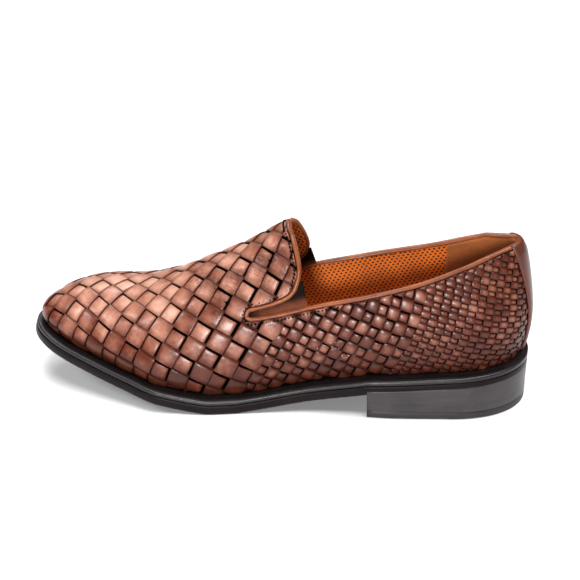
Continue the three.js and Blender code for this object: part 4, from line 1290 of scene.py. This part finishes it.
def elasticGore(name, side, node):
    g = goreShape
    rise = 0 if side > 0 else openingSizes["tabInnerRise"]
    u, v = np.meshgrid(np.linspace(0, 1, g["columns"]), np.linspace(0, 1, g["rows"]))
    edge = lambda key, k: g[key][0][k] + (g[key][1][k] - g[key][0][k]) * u
    x = edge("low", 0) * (1 - v) + edge("high", 0) * v
    z = edge("low", 1) * (1 - v) + edge("high", 1) * v + rise
    grid = sideOf(x, z, side)
    grid = grid - lastNormal(grid) * g["depth"]
    inPoint = np.clip((x - g["pointFrom"]) / g["pointRun"], 0, 1)
    shade = np.maximum(np.clip((v - g["tabFrom"]) / g["tabRun"], 0, 1), inPoint)
    order = slice(None) if side > 0 else slice(None, None, -1)
    piece = gridPiece(name, grid[:, order], [elastic])
    piece.data.attributes.new("shade", "FLOAT", "POINT").data.foreach_set("value", shade[:, order].ravel())
    thicken(piece, g["thickness"], 0)
    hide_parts(node)


elasticGore("outerGore", 1, "gore_outer")
elasticGore("innerGore", -1, "gore_inner")

# strip over the back seam
stripShape = {
    "widths": [(28, 5.5), (45, 6.5), (66, 9.6), (86, 14.0), (99, 17.5)],
    "lift": 0.25, "crown": 1.1, "thickness": 0.9, "foot": 0.8, "top": 98.6, "tuck": 1.5, "tuckFrom": 7.0,
    "columns": 33, "rows": 60,
}


def backStrip():
    s = stripShape
    halfAt = smoothThrough(*columnsOf(s["widths"]))
    z = np.linspace(float(soleTop(heelEnd)) + s["foot"], s["top"], s["rows"])[:, None]
    across = np.linspace(-1, 1, s["columns"])[None, :]
    grid = quarterPoint(across * halfAt(z), z + 0 * across)
    crown = s["lift"] + s["crown"] * (1 - np.abs(across) ** 10)
    tuck = s["tuck"] * np.clip((z - s["top"] + s["tuckFrom"]) / s["tuckFrom"], 0, 1) ** 2
    top = grid + lastNormal(grid) * (crown - tuck)[..., None]
    piece = gridPiece("backStrip", top, [leathers["back strip leather"]])
    thicken(piece, s["thickness"])
    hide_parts("back_strip")


backStrip()


# sole, welt, heel and insole as loops round the plan
def backInset(inset):
    return max(0.0, inset - lastSizes["inset"] + lastSizes["heelInset"]) + min(0.0, inset)


def planHalf(x, side, inset):
    room = np.clip(1 - endRound(x, inset, backInset(inset)), 0, None)
    return (lastCurve["outer" if side > 0 else "inner"](x) - inset) * room ** (1 / lastSizes["planRound"])


soleSteps = {"heel": 40, "waist": 20, "tread": 5, "toe": 54}


def heelStations(inset):
    start = heelEnd + backInset(inset) + 0.02
    turn = np.linspace(0, math.pi / 2, soleSteps["heel"])
    return start + (soleSizes["breast"] - start) * (1 - np.cos(turn))


def soleStations(inset):
    s = soleSizes
    stop = toeEnd - inset - 0.02
    waist = np.linspace(s["breast"], s["treadFrom"], soleSteps["waist"])[1:]
    tread = np.linspace(s["treadFrom"], s["treadTo"], soleSteps["tread"])[1:]
    turn = np.linspace(0, math.pi / 2, soleSteps["toe"])[1:]
    toe = s["treadTo"] + (stop - s["treadTo"]) * np.sin(turn)
    return np.concatenate([heelStations(inset), waist, tread, toe])


def overSole(x, y, lift):
    e = 0.5
    rise = np.where(x > soleSizes["treadTo"], (soleBottom(x + e) - soleBottom(x - e)) / (2 * e), 0)
    slant = np.arctan(rise)
    return np.stack([x - lift * np.sin(slant), y, soleBottom(x) + lift * np.cos(slant)], -1)


def planLoop(x, inset, lay, flat):
    # once round the plan, or there and back along its middle where it is flat
    outer, inner = planHalf(x, 1, inset), -planHalf(x, -1, inset)
    if flat:
        outer = inner = (outer + inner) / 2
    loop = np.concatenate([lay(x, outer), lay(x, inner)[::-1]])
    return np.concatenate([loop, loop[:1]])


def soleLoop(inset, lift, flat=False):
    return planLoop(soleStations(inset), inset, lambda x, y: overSole(x, y, lift), flat)


def heelLoop(inset, height, flat=False):
    return planLoop(heelStations(inset), inset, lambda x, y: np.stack([x, y, height(x)], -1), flat)


def stackPiece(name, loop, profile, material):
    # the rows of a profile, closed by a flat loop at each end
    rows = [loop(*profile[0], True)] + [loop(*row) for row in profile] + [loop(*profile[-1], True)]
    return gridPiece(name, np.array(rows), [leathers[material]], wrap=True)


# profiles give the inset from the plan and the height
def outsole():
    t = soleSizes["outsole"]
    profile = [(1.6, 0.0), (0.8, 0.25), (0.25, 0.9), (0.0, 2.0), (0.0, 3.6),
               (0.05, t - 0.6), (0.2, t - 0.15), (0.5, t)]
    piece = stackPiece("outsoleLeather", soleLoop, profile, "sole edge")
    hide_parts("outsole")


def welt():
    low = soleSizes["outsole"] + 0.05
    top = soleStack
    profile = [(16, low), (1.0, low), (0.6, low + 0.3), (0.35, low + 1.0), (0.35, top - 0.9),
               (0.7, top - 0.3), (1.2, top - 0.05), (2.0, top), (16, top), (16, low)]
    rows = np.array([soleLoop(*p) for p in profile])
    piece = gridPiece("weltLeather", rows, [leathers["welt leather"]], wrap=True)
    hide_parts("welt")


weltStitch = {
    "pitch": 2.1, "inset": 4.4, "over": 0.3, "size": (2.2, 1.7, 1.5), "turn": 22.0, "lift": 0.0,
    "clearOfBack": 14.0,
}


def weltStitches():
    w = weltStitch
    loop = spaced(soleLoop(w["inset"], soleStack + w["over"])[:-1], w["pitch"])
    ahead = aheadOf(loop)
    up = np.broadcast_to(np.array([0, 0, 1.0]), loop.shape)
    normal = unit(up - ahead * (up * ahead).sum(1)[:, None])
    piece = sewRow("weltStitches", loop, normal, w, loop[:, 0] > heelEnd + w["clearOfBack"])


def heel():
    low = soleSizes["topPiece"] + 0.05
    above = lambda lift: (lambda x: soleBottom(x) + lift)
    flat = lambda z: (lambda x: 0 * x + z)
    block = [(0.9, flat(low)), (0.75, flat(low + 0.2)), (0.7, flat(low + 4)), (0.25, above(-1.5)),
             (-0.06, above(2.4)), (0.0, above(2.9)), (0.6, above(3.0))]
    piece = stackPiece("heelBlock", heelLoop, block, "heel stack")
    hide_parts("heel_block")
    top = [(1.8, flat(0)), (1.1, flat(0.5)), (0.85, flat(1.4)), (0.78, flat(4.8)), (0.95, flat(5.0))]
    piece = stackPiece("heelTopPiece", heelLoop, top, "heel rubber")
    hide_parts("heel_top_piece")


insoleShape = {"wall": 2.8, "clear": 1.5, "thickness": 3.0, "round": 0.4, "roundIn": 0.5}


def insole():
    i = insoleShape
    inset = lastSizes["inset"] + lastSizes["tuck"] + i["wall"] + i["clear"]
    low = soleStack + soleSizes["gap"]
    top = low + i["thickness"]
    profile = [(inset, low), (inset, top - i["round"]), (inset + i["roundIn"], top)]
    piece = stackPiece("insoleLeather", soleLoop, profile, "insole leather")
    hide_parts("insole")


outsole()
welt()
weltStitches()
heel()
insole()
print("sole made")

# stage, lights and camera
stageLook = {"floor": (0.75, 0.75, 0.75), "floorRough": 0.9, "floorSize": 3.0, "world": 0.14}
skyLook = {"from": (-0.2, 0.1, 1.0), "power": 4.0, "angle": 40.0}
# place and target in metres, size and power of each soft light
lightRows = {
    "front": ((0.03, 1.0, 0.3), (0, 0, 0.05), 0.22, 10),
    "back": ((0.3, -0.55, 0.95), (0, 0, 0.05), 0.45, 6),
    "toe": ((0.8, 0.35, 0.8), (0.05, 0, 0.05), 0.25, 4),
}


def makeStage():
    kit = NodeKit("pale floor")
    kit.look({"Base Color": stageLook["floor"], "Roughness": stageLook["floorRough"]})
    bm = bmesh.new()
    bmesh.ops.create_grid(bm, x_segments=1, y_segments=1, size=stageLook["floorSize"])
    floor = addMesh("floor", bm, [kit.material])
    floor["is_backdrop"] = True
    world = bpy.data.worlds.new("studio")
    world.use_nodes = True
    world.node_tree.nodes["Background"].inputs["Color"].default_value = (1, 1, 1, 1)
    world.node_tree.nodes["Background"].inputs["Strength"].default_value = stageLook["world"]
    bpy.context.scene.world = world


def addLamp(name, kind, power, place, aim, upward):
    data = bpy.data.lights.new(name, kind)
    data.energy = power
    lamp = bpy.data.objects.new(name, data)
    bpy.context.collection.objects.link(lamp)
    side = unit(np.cross(aim, upward))
    lamp.matrix_world = Matrix.Translation(place) @ axes(side, np.cross(side, aim), -aim)
    return data


def lightStage():
    sky = addLamp("sky", "SUN", skyLook["power"], (0, 0, 0), -unit(np.array(skyLook["from"])), [0, 1.0, 0])
    sky.angle = math.radians(skyLook["angle"])
    for name, (place, target, size, power) in lightRows.items():
        aim = unit(np.array(target, float) - np.array(place))
        addLamp(name, "AREA", power, place, aim, [0, 0, 1.0]).size = size


cameraView = {
    "azimuth": 190.23, "elevation": 28.0, "distance": 593.16, "roll": -2.0,
    "focalPixels": 975.8, "imagePixels": 580.0, "target": (0, 0, 45.0), "offset": (-17.58, 21.46),
}


def makeCamera():
    c = cameraView
    a, e, r = (math.radians(c[k]) for k in ("azimuth", "elevation", "roll"))
    away = np.array([math.sin(a) * math.cos(e), -math.cos(a) * math.cos(e), math.sin(e)])
    right = unit(np.cross(-away, [0, 0, 1.0]))
    up = np.cross(right, -away)
    side = right * math.cos(r) + up * math.sin(r)
    over = up * math.cos(r) - right * math.sin(r)
    data = bpy.data.cameras.new("camera")
    data.sensor_width = 36.0
    data.lens = c["focalPixels"] / c["imagePixels"] * data.sensor_width
    data.shift_x = -c["offset"][0] / c["imagePixels"]
    data.shift_y = c["offset"][1] / c["imagePixels"]
    data.clip_start = 0.01
    camera = bpy.data.objects.new("camera", data)
    bpy.context.collection.objects.link(camera)
    place = (np.array(c["target"]) + away * c["distance"]) * mm
    camera.matrix_world = Matrix.Translation(place) @ axes(side, over, away)
    bpy.context.scene.camera = camera


makeStage()
lightStage()
makeCamera()
bpy.context.scene.view_settings.view_transform = "Standard"
print("stage set")

box = lambda b: [[float(v) for v in corner] for corner in b]
{"cad": box(cadBox), "visual": box(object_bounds())}
